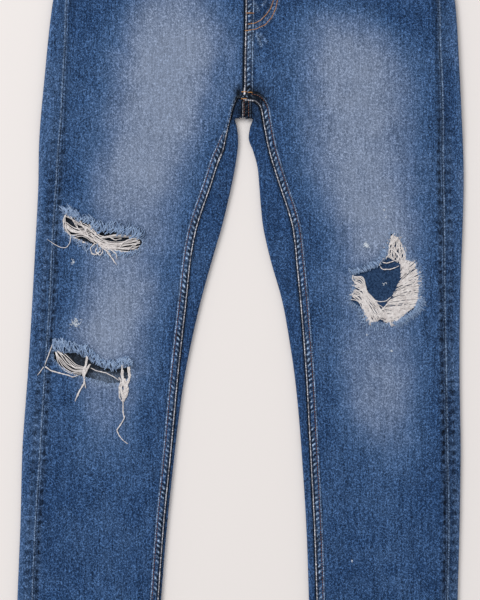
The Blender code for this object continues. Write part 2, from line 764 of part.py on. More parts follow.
def button():
    """A plain shank button: a turned foot and a cap with a rounded rim."""
    band_top = base(0.0) + TUBE + BAND_PROUD + BAND_CLOTH + SEAM_GAP
    x = FLY_EDGE + 15.0
    s = band_dip(x, True) + BAND_HEIGHT / 2.0
    foot = band_top + SEAM_GAP
    rim = BUTTON_RADIUS
    profile = [(0.0, 0.0), (BUTTON_SHANK, 0.0), (BUTTON_SHANK, 1.6), (rim - 0.8, 1.6), (rim, 2.3),
               (rim, 3.2), (rim - 1.0, 4.0), (rim - 2.5, 4.1), (rim - 3.2, 3.7), (0.0, BUTTON_HEIGHT - 0.4)]
    sides = 24
    bm = bmesh.new()
    rings = []
    for r, h in profile:
        if r == 0.0:
            rings.append([bm.verts.new(place(x, s, foot + h))])
            continue
        rings.append([bm.verts.new(place(x + r * math.cos(2 * math.pi * k / sides),
                                         s + r * math.sin(2 * math.pi * k / sides), foot + h))
                      for k in range(sides)])
    for low, high in zip(rings, rings[1:]):
        for k in range(sides):
            n = (k + 1) % sides
            if len(low) == 1:
                bm.faces.new((low[0], high[n], high[k]))
            elif len(high) == 1:
                bm.faces.new((low[k], low[n], high[0]))
            else:
                bm.faces.new((low[k], low[n], high[n], high[k]))
    bmesh.ops.recalc_face_normals(bm, faces=bm.faces[:])
    mesh = bpy.data.meshes.new("button")
    bm.to_mesh(mesh)
    bm.free()
    return finish("button", mesh, material("brass", (0.42, 0.30, 0.16), 0.4, 0.9), 30.0)


def knee_patch():
    """A dark twill patch inside the left leg, just under the front."""
    rows = []
    for i in range(6):
        s = mix(PATCH_TOP, PATCH_BOTTOM, i / 5.0)
        row = []
        for j in range(5):
            x = mix(PATCH_LEFT, PATCH_RIGHT, j / 4.0)
            z = face(x, s) - CLOTH - SEAM_GAP
            row.append(((x, s, z), (x, s, z - PATCH_CLOTH)))
        rows.append(row)
    return wall("knee_patch", [[p[0] for p in r] for r in rows], [[p[1] for p in r] for r in rows],
                material("dark_twill", (0.02, 0.045, 0.11), 0.85))


def inset(outline, amount):
    """The outline moved inwards by an amount, corner by corner."""
    area = sum(a[0] * b[1] - b[0] * a[1] for a, b in zip(outline, outline[1:] + outline[:1]))
    way = 1.0 if area > 0.0 else -1.0
    moved = []
    count = len(outline)
    for k in range(count):
        before = np.array(outline[k - 1])
        here = np.array(outline[k])
        after = np.array(outline[(k + 1) % count])
        d1 = (here - before) / np.linalg.norm(here - before)
        d2 = (after - here) / np.linalg.norm(after - here)
        n1 = way * np.array((-d1[1], d1[0]))
        n2 = way * np.array((-d2[1], d2[0]))
        bisector = n1 + n2
        bisector = bisector / np.linalg.norm(bisector)
        reach = amount / max(float(np.dot(bisector, n1)), 0.5)
        moved.append(tuple(here + bisector * reach))
    return moved


def prism(name, outline, low, high):
    """An upright prism through the cloth, used as a cutter."""
    count = len(outline)
    points = [(x, s, low) for x, s in outline] + [(x, s, high) for x, s in outline]
    faces = [tuple(range(count)), tuple(range(2 * count - 1, count - 1, -1))]
    faces += [(k, (k + 1) % count, (k + 1) % count + count, k + count) for k in range(count)]
    mesh = mesh_from(name, points, faces)
    made = bpy.data.objects.new(name, mesh)
    bpy.context.collection.objects.link(made)
    made.hide_render = True
    made.display_type = "WIRE"
    return made


def cut(panel, cutter):
    modifier = panel.modifiers.new("rip", "BOOLEAN")
    modifier.operation = "DIFFERENCE"
    modifier.solver = "EXACT"
    modifier.object = cutter


def crossings(outline, point, direction):
    """Distances along a line where it crosses the outline."""
    found = []
    for a, b in zip(outline, outline[1:] + outline[:1]):
        ex = b[0] - a[0]
        es = b[1] - a[1]
        det = direction[0] * es - direction[1] * ex
        if abs(det) < 1e-9:
            continue
        t = ((a[0] - point[0]) * es - (a[1] - point[1]) * ex) / det
        u = ((a[0] - point[0]) * direction[1] - (a[1] - point[1]) * direction[0]) / det
        if 0.0 <= u < 1.0:
            found.append(t)
    return sorted(found)


def thread_top(x, s):
    return face(x, s) - THREAD_DEPTH


def strand_points(start, end, width, free_end):
    """Corners of a four-sided strand between two plan points."""
    length = math.hypot(end[0] - start[0], end[1] - start[1])
    nx = -(end[1] - start[1]) / length
    ns = (end[0] - start[0]) / length
    corners = []
    for (x, s), w in ((start, width), (end, width * (0.6 if free_end else 1.0))):
        top = thread_top(x, s) - 0.06
        low = top - THREAD_THICK + 0.12
        for side, z in ((-1, low), (1, low), (1, top), (-1, top)):
            corners.append((x + side * nx * w / 2.0, s + side * ns * w / 2.0, z))
    return corners


def rip_threads(name, outline, strands):
    """A strip just inside the rip's edge, with the strands fused to it."""
    rim_outer = inset(outline, SEAM_GAP)
    rim_inner = inset(outline, SEAM_GAP + STRIP_WIDTH)
    count = len(outline)
    points = []
    for ring, depth in ((rim_outer, 0.0), (rim_inner, 0.0), (rim_inner, 1.0), (rim_outer, 1.0)):
        points += [(x, s, thread_top(x, s) - depth * THREAD_THICK) for x, s in ring]
    faces = []
    for level in range(4):
        for k in range(count):
            n = (k + 1) % count
            a = level * count
            b = ((level + 1) % 4) * count
            faces.append((a + k, a + n, b + n, b + k))
    cream = material("cream_thread", (0.66, 0.62, 0.58), 0.8)
    strip = finish(name, mesh_from(name, points, faces), cream, 30.0)
    points = []
    faces = []
    for start, end, free_end in strands:
        first = len(points)
        points += strand_points(start, end, STRAND_WIDTH, free_end)
        faces.append(tuple(first + k for k in (0, 1, 2, 3)))
        faces.append(tuple(first + k for k in (7, 6, 5, 4)))
        for k in range(4):
            n = (k + 1) % 4
            faces.append((first + k, first + n, first + 4 + n, first + 4 + k))
    tool = bpy.data.objects.new(name + "_strands", mesh_from(name + "_strands", points, faces))
    bpy.context.collection.objects.link(tool)
    tool.hide_render = True
    tool.display_type = "WIRE"
    modifier = strip.modifiers.new("strands", "BOOLEAN")
    modifier.operation = "UNION"
    modifier.solver = "EXACT"
    modifier.use_self = True
    modifier.object = tool
    return strip


def spanning_strands(outline, slope, pitch):
    """Weft threads across a rip, parallel and a pitch apart."""
    inner = inset(outline, SEAM_GAP + STRIP_WIDTH)
    length = math.hypot(1.0, slope)
    direction = (1.0 / length, slope / length)
    across = (-direction[1], direction[0])
    levels = [x * across[0] + s * across[1] for x, s in inner]
    strands = []
    level = min(levels) + 0.75 * pitch
    while level < max(levels) - 0.5 * pitch:
        origin = (across[0] * level, across[1] * level)
        hits = crossings(inner, origin, direction)
        for a, b in zip(hits[0::2], hits[1::2]):
            if b - a > 8.0:
                a -= 0.6 * STRIP_WIDTH
                b += 0.6 * STRIP_WIDTH
                strands.append(((origin[0] + direction[0] * a, origin[1] + direction[1] * a),
                                (origin[0] + direction[0] * b, origin[1] + direction[1] * b), False))
        level += pitch
    return strands


def radiating_strands(outline, opening, pitch):
    """Frayed threads from the rip's edge towards the opening, where they end free."""
    inner = inset(outline, SEAM_GAP + STRIP_WIDTH)
    root_line = inset(outline, SEAM_GAP + 0.4 * STRIP_WIDTH)
    middle = (sum(p[0] for p in opening) / len(opening), sum(p[1] for p in opening) / len(opening))
    strands = []
    carry = pitch / 2.0
    for a, b in zip(root_line, root_line[1:] + root_line[:1]):
        side = math.hypot(b[0] - a[0], b[1] - a[1])
        along = carry
        while along < side:
            t = along / side
            root = (mix(a[0], b[0], t), mix(a[1], b[1], t))
            away = (root[0] - middle[0], root[1] - middle[1])
            reach = math.hypot(*away)
            direction = (away[0] / reach, away[1] / reach)
            edge = max(crossings(opening, middle, direction), default=0.0)
            if reach - edge > 7.0 and edge > 0.0:
                tip = (middle[0] + direction[0] * (edge + 1.0), middle[1] + direction[1] * (edge + 1.0))
                strands.append((root, tip, True))
            along += pitch
        carry = along - side
    return strands


for half_side in (RIGHT, LEFT):
    back_panel(half_side)
    yoke(half_side)
    pocket_facing(half_side)
    back_pocket(half_side)

front_right = front_panel(RIGHT)
front_left = front_panel(LEFT)
for rip_name, rip_outline, ripped in (("thigh_rip", THIGH_RIP, front_right),
                                      ("right_knee_rip", RIGHT_KNEE_RIP, front_right),
                                      ("left_knee_rip", LEFT_KNEE_RIP, front_left)):
    cut(ripped, prism(rip_name + "_cutter", rip_outline, -2.0, 14.0))

rip_threads("thigh_rip_threads", THIGH_RIP, spanning_strands(THIGH_RIP, 0.30, 3.4))
rip_threads("right_knee_rip_threads", RIGHT_KNEE_RIP, spanning_strands(RIGHT_KNEE_RIP, 0.32, 3.4))
rip_threads("left_knee_rip_threads", LEFT_KNEE_RIP, radiating_strands(LEFT_KNEE_RIP, KNEE_OPENING, 5.0))

waistband()
belt_loops()
button()
knee_patch()
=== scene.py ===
# %% [markdown]
# # Ripped jeans, laid flat
# This notebook dresses a pair of slim jeans that lies face up on a pale table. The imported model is
# the frame: it says where each panel is, and every finer piece made here stays on it. A denim panel
# could be one plane with a picture on it, but a cut cloth has two sides and an edge, so each panel
# is made as a closed wall from two grids, and its creases and puckers are moved points.

# %% Load the frame
import math

import bpy
import numpy as np
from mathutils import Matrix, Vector
from mathutils.bvhtree import BVHTree


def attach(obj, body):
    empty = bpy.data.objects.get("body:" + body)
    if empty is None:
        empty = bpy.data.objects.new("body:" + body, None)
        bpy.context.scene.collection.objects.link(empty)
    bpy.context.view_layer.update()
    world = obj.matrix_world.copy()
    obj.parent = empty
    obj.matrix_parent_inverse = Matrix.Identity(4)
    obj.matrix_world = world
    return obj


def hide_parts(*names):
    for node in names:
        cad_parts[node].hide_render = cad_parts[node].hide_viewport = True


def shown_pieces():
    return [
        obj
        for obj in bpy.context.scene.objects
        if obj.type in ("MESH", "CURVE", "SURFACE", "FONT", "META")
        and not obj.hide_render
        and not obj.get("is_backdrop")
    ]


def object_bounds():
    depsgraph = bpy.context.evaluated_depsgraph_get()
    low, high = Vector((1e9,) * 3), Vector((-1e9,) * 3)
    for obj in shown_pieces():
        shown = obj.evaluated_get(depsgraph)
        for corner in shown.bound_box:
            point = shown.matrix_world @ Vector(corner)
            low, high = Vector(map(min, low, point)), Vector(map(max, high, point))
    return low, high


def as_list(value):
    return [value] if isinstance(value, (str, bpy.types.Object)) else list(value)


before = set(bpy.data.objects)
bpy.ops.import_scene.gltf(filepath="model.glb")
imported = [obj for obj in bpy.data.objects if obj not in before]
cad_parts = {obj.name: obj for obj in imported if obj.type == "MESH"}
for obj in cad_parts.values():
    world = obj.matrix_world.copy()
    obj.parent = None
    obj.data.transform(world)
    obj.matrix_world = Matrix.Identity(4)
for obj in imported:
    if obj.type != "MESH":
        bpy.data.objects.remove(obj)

cad_low, cad_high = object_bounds()
MM = 0.001
FINE = 1.0
LENGTH = 1065.0
cad_size = [round((b - a) / MM, 1) for a, b in zip(cad_low, cad_high)]
print("the frame measures", cad_size, "mm; the grid step factor is", FINE)

# %% [markdown]
# ## Where things are on a pair of jeans
# Pattern cutters measure down from the waist. A station `s` is that distance in millimetres, and
# `x` runs across from the fly line towards the wearer's left. One function turns both into metres.
# The tables hold the outline of each leg: the folded outer edge, the side seam (outseam), the
# inseam and the folded inner edge. The back panel is wider than the front, so it wraps round both
# edges and the seams lie on the face.

# %% Stations and outlines
X_CENTRE = -7.2
CLOTH = 1.2
SEAM_GAP = 0.3
FOLD = 3.0
TUBE = 2.0 * FOLD
BAND_HEIGHT = 40.0
SIDE_DIP = 3.0
FRONT_DIP = 14.0
WAIST_CENTRE = 12.0
WAIST_HALF = 207.5
SEAT_LIFT = CLOTH + SEAM_GAP
SEAT_END = 290.0
LEG_FLAT_START = 330.0
CROTCH = 287.0
HEM_HEIGHT = 15.0
SCOOP_WIDTH = 108.0
SCOOP_END = 122.0
YOKE_AT_SIDE = 75.0
YOKE_AT_CENTRE = 105.0
FLY_EDGE = 2.0

RIGHT_SIDE = np.array([
    (0, 195.5, 181.0), (40, 200, 185), (90, 216, 199.5), (145, 229.2, 211.9), (193, 235.2, 213.6),
    (236, 239.4, 216), (287, 244.2, 218.4), (325, 246.6, 222), (366, 247.2, 224.4),
    (416, 249.6, 228), (505, 254.4, 232.2), (596, 260, 238.2), (685, 266.4, 243.6),
    (776, 268.8, 249.6), (865, 272.4, 253.2), (1065, 278.4, 260.4)])
LEFT_SIDE = np.array([
    (0, 219.5, 202.0), (40, 224, 206), (90, 240, 221), (145, 253.2, 232.6), (193, 256.8, 234),
    (236, 259.2, 236.2), (287, 261.6, 237.4), (325, 263.4, 237.4), (366, 264, 238.2),
    (416, 262.8, 239.2), (505, 259.8, 240), (596, 259.2, 241.7), (685, 260.4, 243.2),
    (776, 259.2, 244.8), (865, 256.8, 243.1), (1065, 253.2, 240)])
RIGHT_INNER = np.array([
    (301, 19.8, 7.6), (315, 22.5, 6.9), (325, 24.5, 7.6), (338, 30, 9.4), (366, 39, 14.6),
    (416, 55.8, 26.4), (453, 63.2, 37.2), (505, 68.8, 51.6), (596, 78.8, 71.2), (685, 87, 82.8),
    (776, 96, 92.4), (865, 102.5, 99.6), (1065, 116, 112.8)])
LEFT_INNER = np.array([
    (301, 24.6, 6.2), (313, 27, 5.8), (325, 29.6, 10.6), (338, 33.2, 15), (366, 42, 18.2),
    (416, 57.6, 22.8), (463, 63.1, 33.6),
    (505, 67.2, 45.6), (596, 74.4, 60.8), (685, 79.2, 69), (776, 84, 74.8), (865, 87, 78),
    (1065, 92.4, 84)])
# Rows round the crotch fold: station at the side, fold x and s, turn of the fold, end x and s
RIGHT_FAN = [(274, 5.2, 287, 0, 2.0, 280), (281, 7.2, 287, 0, 2.0, 271), (288, 9.2, 287, 0, 1.0, 262),
             (294, 10.8, 288.2, 45, 8.0, 263), (299, 10.0, 292, 80, 13.4, 275),
             (304, 8.6, 297, 90, 16.6, 288)]
LEFT_FAN = [(274, 1.8, 287, 0, -2.0, 280), (281, 4.8, 287, 0, -2.0, 273), (288, 7.8, 287, 0, -0.7, 265),
            (294, 10.6, 288.2, 45, 14.4, 267.5), (299, 9.2, 292.2, 80, 20.0, 275.5),
            (304, 7.4, 297, 90, 22.2, 287)]
SEAT_SEAM = -2.0
LEG_STATIONS = [312, 325, 345, 366, 391, 416, 440, 463, 505, 550, 596, 640, 685, 776, 865, 965]
SEAT_ROWS = [(145, 180), (175, 197), (205, 214), (235, 232)]


def place(points):
    """Millimetres across, down and up, to metres in the frame."""
    points = np.asarray(points, dtype=float)
    return np.stack([(points[..., 0] - X_CENTRE) * MM, (LENGTH / 2 - points[..., 1]) * MM,
                     points[..., 2] * MM], axis=-1)


def unplace(points):
    """Metres in the frame, back to millimetres across, down and up."""
    return np.stack([points[..., 0] / MM + X_CENTRE, LENGTH / 2 - points[..., 1] / MM,
                     points[..., 2] / MM], axis=-1)


def mix(a, b, t):
    return a + (b - a) * t


def soft_step(low, high, value):
    t = np.clip((np.asarray(value, dtype=float) - low) / (high - low), 0.0, 1.0)
    return t * t * (3.0 - 2.0 * t)


def curve(xs, ys, x):
    """A cubic through the points, with slopes from the neighbours; ys may have columns."""
    xs = np.asarray(xs, dtype=float)
    ys = np.asarray(ys, dtype=float)
    x = np.clip(np.asarray(x, dtype=float), xs[0], xs[-1])
    i = np.clip(np.searchsorted(xs, x, side="right") - 1, 0, len(xs) - 2)
    before = np.maximum(np.arange(len(xs)) - 1, 0)
    after = np.minimum(np.arange(len(xs)) + 1, len(xs) - 1)
    span_all = (xs[after] - xs[before]).reshape((-1,) + (1,) * (ys.ndim - 1))
    slopes = (ys[after] - ys[before]) / span_all
    span = xs[i + 1] - xs[i]
    t = (x - xs[i]) / span
    extra = (1,) * (ys.ndim - 1)
    t = t.reshape(t.shape + extra)
    span = span.reshape(span.shape + extra)
    t2 = t * t
    t3 = t2 * t
    return ((2 * t3 - 3 * t2 + 1) * ys[i] + (t3 - 2 * t2 + t) * span * slopes[i]
            + (3 * t2 - 2 * t3) * ys[i + 1] + (t3 - t2) * span * slopes[i + 1])


class Leg:
    """One half of the garment; distances from the fly line carry its sign."""

    def __init__(self, name, sign, side, inner, fan, centre):
        self.name = name
        self.sign = sign
        self.side = side
        self.inner = inner
        self.fan = fan
        self.centre = centre

    def outer_edge(self, s):
        return self.sign * curve(self.side[:, 0], self.side[:, 1], s)

    def outseam(self, s):
        return self.sign * curve(self.side[:, 0], self.side[:, 2], s)

    def inseam(self, s):
        return self.sign * curve(self.inner[:, 0], self.inner[:, 1], s)

    def inner_edge(self, s):
        return self.sign * curve(self.inner[:, 0], self.inner[:, 2], s)


RIGHT = Leg("right", -1.0, RIGHT_SIDE, RIGHT_INNER, RIGHT_FAN, SEAT_SEAM)
LEFT = Leg("left", 1.0, LEFT_SIDE, LEFT_INNER, LEFT_FAN, SEAT_SEAM)


def inseam_line(leg):
    """The inseam on the face, from the crossing under the fly to the hem."""
    turn = [(leg.sign * row[4], row[5]) for row in leg.fan[2:]]
    down = [(float(leg.inseam(s)), s) for s in list(leg.inner[:, 0])]
    points = np.array(turn + down)
    steps = np.concatenate([[0], np.cumsum(np.hypot(*np.diff(points, axis=0).T))])
    return curve(steps, points, np.arange(0, steps[-1], 2.0))


INSEAM = {leg.name: inseam_line(leg) for leg in (RIGHT, LEFT)}
print("inseam lengths", {name: round(2.0 * len(line)) for name, line in INSEAM.items()})

# %% [markdown]
# ## Heights: creases, puckers and seams
# Cloth that has been washed is never flat. The seat lies a little higher than the legs, on its back
# pockets and belt loops. Long soft troughs run from the crotch and round the knees. On top of them
# comes a patchy unevenness. Random numbers on a lattice, blended smoothly, give that without any
# texture file; the seed is fixed, so each run is the same.

# %% Creases and unevenness
CREASES = np.array([
    (-20, 250, -120, 215, 9, 0.9), (-24, 275, -150, 262, 10, 0.8), (-30, 305, -130, 318, 9, 0.7),
    (22, 252, 115, 222, 9, 0.9), (32, 282, 150, 275, 10, 0.8), (38, 312, 140, 330, 9, 0.7),
    (-110, 640, -220, 652, 12, 0.8), (-115, 720, -215, 705, 12, 0.7),
    (100, 640, 215, 628, 12, 0.8), (105, 700, 205, 715, 12, 0.7)], dtype=float)
LATTICE = np.random.RandomState(11).rand(128, 128) * 2.0 - 1.0


def patchy(x, s, size, layer=0):
    """Smooth random values from -1 to 1 with patches of about that size."""
    u = np.asarray(x, dtype=float) / size + 17.3 * layer + 60.0
    v = np.asarray(s, dtype=float) / size + 31.7 * layer + 40.0
    iu = np.floor(u).astype(int)
    iv = np.floor(v).astype(int)
    fu = soft_step(0.0, 1.0, u - iu)
    fv = soft_step(0.0, 1.0, v - iv)
    a = LATTICE[iu % 128, iv % 128]
    b = LATTICE[(iu + 1) % 128, iv % 128]
    c = LATTICE[iu % 128, (iv + 1) % 128]
    d = LATTICE[(iu + 1) % 128, (iv + 1) % 128]
    return mix(mix(a, b, fu), mix(c, d, fu), fv)


def underside(s):
    return SEAT_LIFT * (1.0 - soft_step(SEAT_END, LEG_FLAT_START, s))


def crease(x, s):
    depth = np.zeros(np.broadcast(x, s).shape)
    for x0, s0, x1, s1, half_width, deep in CREASES:
        length = math.hypot(x1 - x0, s1 - s0)
        ux = (x1 - x0) / length
        us = (s1 - s0) / length
        along = (x - x0) * ux + (s - s0) * us
        across = (s - s0) * ux - (x - x0) * us
        ends = soft_step(0, 0.25 * length, along) * (1 - soft_step(0.75 * length, length, along))
        depth = depth + deep * ends * np.exp(-(across / half_width) ** 2)
    return -depth


def ripple(x, s):
    """The small unevenness of washed cloth, as a height."""
    return (0.22 * patchy(x, s * 0.6, 34.0, 1) + 0.12 * patchy(x, s * 0.7, 15.0, 2)
            + 0.05 * patchy(x, s, 6.0, 3))


def edge_window(leg, x, s):
    """Fades the creases out towards the folded edges of a leg."""
    from_outer = np.abs(leg.outer_edge(s) - x)
    inner = np.where(np.asarray(s) < CROTCH, leg.centre, leg.inner_edge(np.maximum(s, 301.0)))
    from_inner = np.where(np.asarray(s) < CROTCH, 40.0, np.abs(x - inner))
    return soft_step(4, 34, from_outer) * soft_step(4, 30, from_inner)


def line_distance(x, s, line, limit=30.0):
    """Distance to a line and the length along it, for points near it."""
    x = np.asarray(x, dtype=float).ravel()
    s = np.asarray(s, dtype=float).ravel()
    found = np.full(x.shape, limit)
    along = np.zeros(x.shape)
    low = line.min(axis=0) - limit
    high = line.max(axis=0) + limit
    near = np.nonzero((x > low[0]) & (x < high[0]) & (s > low[1]) & (s < high[1]))[0]
    a = line[:-1]
    d = line[1:] - a
    long2 = (d ** 2).sum(axis=1)
    for chunk in np.array_split(near, max(1, len(near) // 4000)):
        px = x[chunk, None] - a[None, :, 0]
        ps = s[chunk, None] - a[None, :, 1]
        t = np.clip((px * d[:, 0] + ps * d[:, 1]) / long2, 0, 1)
        gap = np.hypot(px - t * d[:, 0], ps - t * d[:, 1])
        k = gap.argmin(axis=1)
        found[chunk] = np.minimum(gap[np.arange(len(chunk)), k], limit)
        along[chunk] = (k + t[np.arange(len(chunk)), k]) * np.sqrt(long2[k])
    return found, along


# %% [markdown]
# ## Seams as relief
# The inseam is felled: both panels are folded into each other and sewn down with two rows. Seen on
# the face that is a raised band about 9 mm wide, with a groove at each row and, because washing
# shrinks the cloth more than the thread, a pucker every few millimetres between the rows. The
# outseam is pressed open: its allowances lie inside and show as a faint rope of bumps on both sides.
# One function gives the height, and the same numbers later say where the dye has worn off.

# %% Seam relief
ROW_NEAR = 1.5
ROW_FAR = 7.9
BAND = 9.3
PUCKER = 6.4
ROPE = 12.0


def pucker_wave(along, pitch, layer):
    """An uneven row of bumps, from 0 to 1."""
    shifted = along + 2.6 * patchy(along, 0.0 * along, 17.0, layer)
    return 0.5 + 0.5 * np.sin(2 * math.pi * shifted / pitch)


def seat_fell(leg, x, s):
    """Distance into the felled band of the seat seam, which lies on the left back."""
    return np.where((leg is LEFT) & (s < CROTCH + 1), np.abs(x - SEAT_SEAM), 30.0)


def tucked(leg, distance, s):
    """The right inseam's band is rolled under near the crotch, so less of it shows there."""
    shown = mix(0.3 if leg is RIGHT else 1.0, 1.0, soft_step(292, 326, s))
    return distance / shown


def slanted_wave(distance, along):
    """The puckers between the two rows of a felled band, which lean along it."""
    return pucker_wave(along + 0.7 * distance, PUCKER, 4) ** 1.5


def felled(distance, along):
    """Height of the felled band at a distance from its folded edge."""
    rise = 0.45 + 0.55 * soft_step(0, 1.0, distance)
    plateau = 0.95 * (1 - soft_step(BAND - 0.9, BAND + 0.5, distance)) * rise
    grooves = np.exp(-((distance - ROW_NEAR) / 0.55) ** 2) + np.exp(-((distance - ROW_FAR) / 0.55) ** 2)
    between = np.exp(-((distance - 4.6) / 2.3) ** 2)
    bumps = 0.4 * slanted_wave(distance, along) * between
    return plateau - 0.35 * grooves + bumps


def roped(distance, s):
    """Height of the pressed-open outseam beside its line."""
    raised = 0.5 * (1 - soft_step(7, 12, distance))
    groove = 0.45 * np.exp(-(distance / 0.9) ** 2)
    bumps = 0.17 * (pucker_wave(s, ROPE, 5) - 0.5) * np.exp(-((distance - 5.5) / 4.0) ** 2)
    return raised - groove + bumps


def fly_x(s):
    return mix(FLY_EDGE, 0.5, soft_step(145, 245, s))


def hem_relief(s):
    start = LENGTH - HEM_HEIGHT
    return 0.8 * soft_step(start - 1.2, start, s) - 0.3 * np.exp(-((s - start - 2.5) / 0.6) ** 2)


def front_relief(leg, x, s):
    shape = np.broadcast(x, s).shape
    near_in, along = line_distance(x, s, INSEAM[leg.name])
    near_in = tucked(leg, near_in.reshape(shape), s)
    along = along.reshape(shape)
    height = felled(near_in, along)
    out = np.abs(leg.outseam(s) - x)
    height = np.maximum(height, 0) + np.where(s > SCOOP_END - 3, roped(out, s), 0)
    if leg is LEFT:
        fly = np.abs(x - fly_x(s))
        band = felled(fly, s) * (1 - soft_step(258, 263, s)) * soft_step(40, 60, s)
        facing = 0.35 * (1 - soft_step(0, 3, fly_facing(x, s)))
        height = np.maximum(np.maximum(height, band), facing + 0 * height)
    return height + hem_relief(s)


def fly_facing(x, s):
    """How far a point lies outside the fly facing, whose end is a quarter round."""
    half_width = 38.0
    bottom = 182.0
    corner = 36.0
    dx = np.maximum(np.abs(x - 2.0) - (half_width - corner), 0)
    ds = np.maximum(s - (bottom - corner), 0)
    return np.maximum(np.hypot(dx, ds) - corner,
                      np.where(s < bottom - corner, np.abs(x - 2.0) - half_width, -9))


# %% [markdown]
# ## Making walls of cloth
# Each panel starts as a few rows of points, the same ones that its rigid solid has. A smooth curve
# through each column of points fills in rows every few millimetres. The inner side is the same grid
# moved in by the thickness of denim, and a rim closes the wall. Numpy makes the points and Blender
# gets them in one call, which is far quicker than adding vertices one at a time.

# %% Grid tools
ROW_STEP = 2.7


def refine_rows(rows, step):
    """Rows of points made denser along the garment, by smooth curves; a point may hold two."""
    rows = np.asarray(rows, dtype=float)
    gaps = np.linalg.norm(np.diff(rows[..., :3], axis=0), axis=2).mean(axis=1)
    places = np.concatenate([[0.0], np.cumsum(np.maximum(gaps, 0.3))])
    count = max(int(places[-1] / step), 2)
    return curve(places, rows, np.linspace(0.0, places[-1], count + 1))


def refine_walls(rows, step):
    """Outer and inner rows made denser together."""
    made = refine_rows([np.concatenate(row, axis=1) for row in rows], step)
    return made[..., :3], made[..., 3:]


def grid_faces(rows, cols, offset=0, flip=False):
    i, j = np.meshgrid(np.arange(rows - 1), np.arange(cols - 1), indexing="ij")
    a = (i * cols + j).ravel() + offset
    quads = np.stack([a, a + 1, a + cols + 1, a + cols], axis=1)
    return quads[:, ::-1] if flip else quads


def new_mesh(name, points, faces, smooth=60.0):
    mesh = bpy.data.meshes.new(name)
    mesh.from_pydata([tuple(p) for p in points], [], [tuple(f) for f in faces])
    mesh.validate()
    mesh.shade_smooth()
    mesh.set_sharp_from_angle(angle=math.radians(smooth))
    made = bpy.data.objects.new(name, mesh)
    bpy.context.collection.objects.link(made)
    return made


def cloth_wall(name, outer, inner):
    """A closed wall of cloth between two grids given in millimetres."""
    rows, cols = outer.shape[:2]
    half = rows * cols
    points = place(np.concatenate([outer.reshape(-1, 3), inner.reshape(-1, 3)]))
    faces = [grid_faces(rows, cols), grid_faces(rows, cols, half, True)]
    j = np.arange(cols - 1)
    i = np.arange(rows - 1)
    last = (rows - 1) * cols
    faces.append(np.stack([j, j + half, j + half + 1, j + 1], axis=1))
    faces.append(np.stack([last + j, last + j + 1, last + j + half + 1, last + j + half], axis=1))
    a = i * cols
    faces.append(np.stack([a, a + cols, a + cols + half, a + half], axis=1))
    b = i * cols + cols - 1
    faces.append(np.stack([b, b + half, b + cols + half, b + cols], axis=1))
    faces = np.concatenate(faces)
    p = points[faces]
    volume = np.einsum("ij,ij->i", p[:, 0], np.cross(p[:, 1], p[:, 2])).sum()
    volume += np.einsum("ij,ij->i", p[:, 0], np.cross(p[:, 2], p[:, 3])).sum()
    if volume < 0:
        faces = faces[:, ::-1]
    made = new_mesh(name, points, faces)
    print(name, "has", 2 * len(faces), "triangles")
    return made


def lifted(outer, inner, height):
    """The outer grid moved out of the wall by a height."""
    way = outer - inner
    way /= np.maximum(np.linalg.norm(way, axis=2, keepdims=True), 1e-6)
    return outer + way * height[..., None]


# %% [markdown]
# ## The back panels
# A back panel starts at the outseam on the face, goes round the outer edge, under the leg, round the
# inner edge and up to the inseam. At the crotch its rows fan out round the short fold between the
# legs. Above it they end at centre back. It could be made by folding a flat sheet with a cloth
# simulation, but that would not stop at the outline in the photo, so the rows are built directly.

# %% Back panels and yokes
FLANGE_COLS = 12
ARC_COLS = 7
UNDER_COLS = int(22 / FINE)
INNER_FLANGE_COLS = 12
INNER_COLS = ARC_COLS + INNER_FLANGE_COLS
ANGLES = np.radians(np.linspace(90, -90, ARC_COLS))


def wall_row(samples):
    return np.array([p[0] for p in samples]), np.array([p[1] for p in samples])


def flange_and_edge(leg, station_of, s_side):
    """Samples from the outseam on the face, over the outer edge, to the underside."""
    s = station_of(float(leg.outseam(s_side)), True)
    edge = float(leg.outer_edge(s))
    seam = float(leg.outseam(s)) + leg.sign * SEAM_GAP / 2
    stop = edge - leg.sign * FOLD
    samples = []
    for k in range(FLANGE_COLS):
        x = mix(seam, stop, (k / FLANGE_COLS) ** 1.15)
        s = station_of(x, True)
        top = float(underside(s)) + TUBE
        samples.append(((x, s, top), (x, s, top - CLOTH)))
    s = station_of(edge, True)
    mid = float(underside(s)) + FOLD
    for a in ANGLES:
        samples.append(((stop + leg.sign * FOLD * math.cos(a), s, mid + FOLD * math.sin(a)),
                        (stop + leg.sign * (FOLD - CLOTH) * math.cos(a), s,
                         mid + (FOLD - CLOTH) * math.sin(a))))
    return samples


def flat_samples(start, stop, count, include_stop=False):
    samples = []
    for k in range(1, count + (0 if include_stop else 1)):
        t = k / count if include_stop else k / (count + 1)
        x = mix(start[0], stop[0], t)
        s = mix(start[1], stop[1], t)
        z = float(underside(s))
        samples.append(((x, s, z), (x, s, z + CLOTH)))
    return samples


def seat_row(leg, s_outer, s_inner):
    """A row that ends on the underside at centre back."""
    samples = flange_and_edge(leg, lambda x, face: s_outer, s_outer)
    centre = leg.centre + leg.sign * SEAM_GAP / 2
    near = (centre + leg.sign * 16.0, mix(s_inner, s_outer, 0.07))
    samples += flat_samples(samples[-1][0][:2], near, UNDER_COLS)
    for k in range(INNER_COLS):
        t = k / (INNER_COLS - 1)
        x = mix(near[0], centre, t)
        s = mix(near[1], s_inner, t)
        z = float(underside(s))
        samples.append(((x, s, z), (x, s, z + CLOTH)))
    return wall_row(samples)


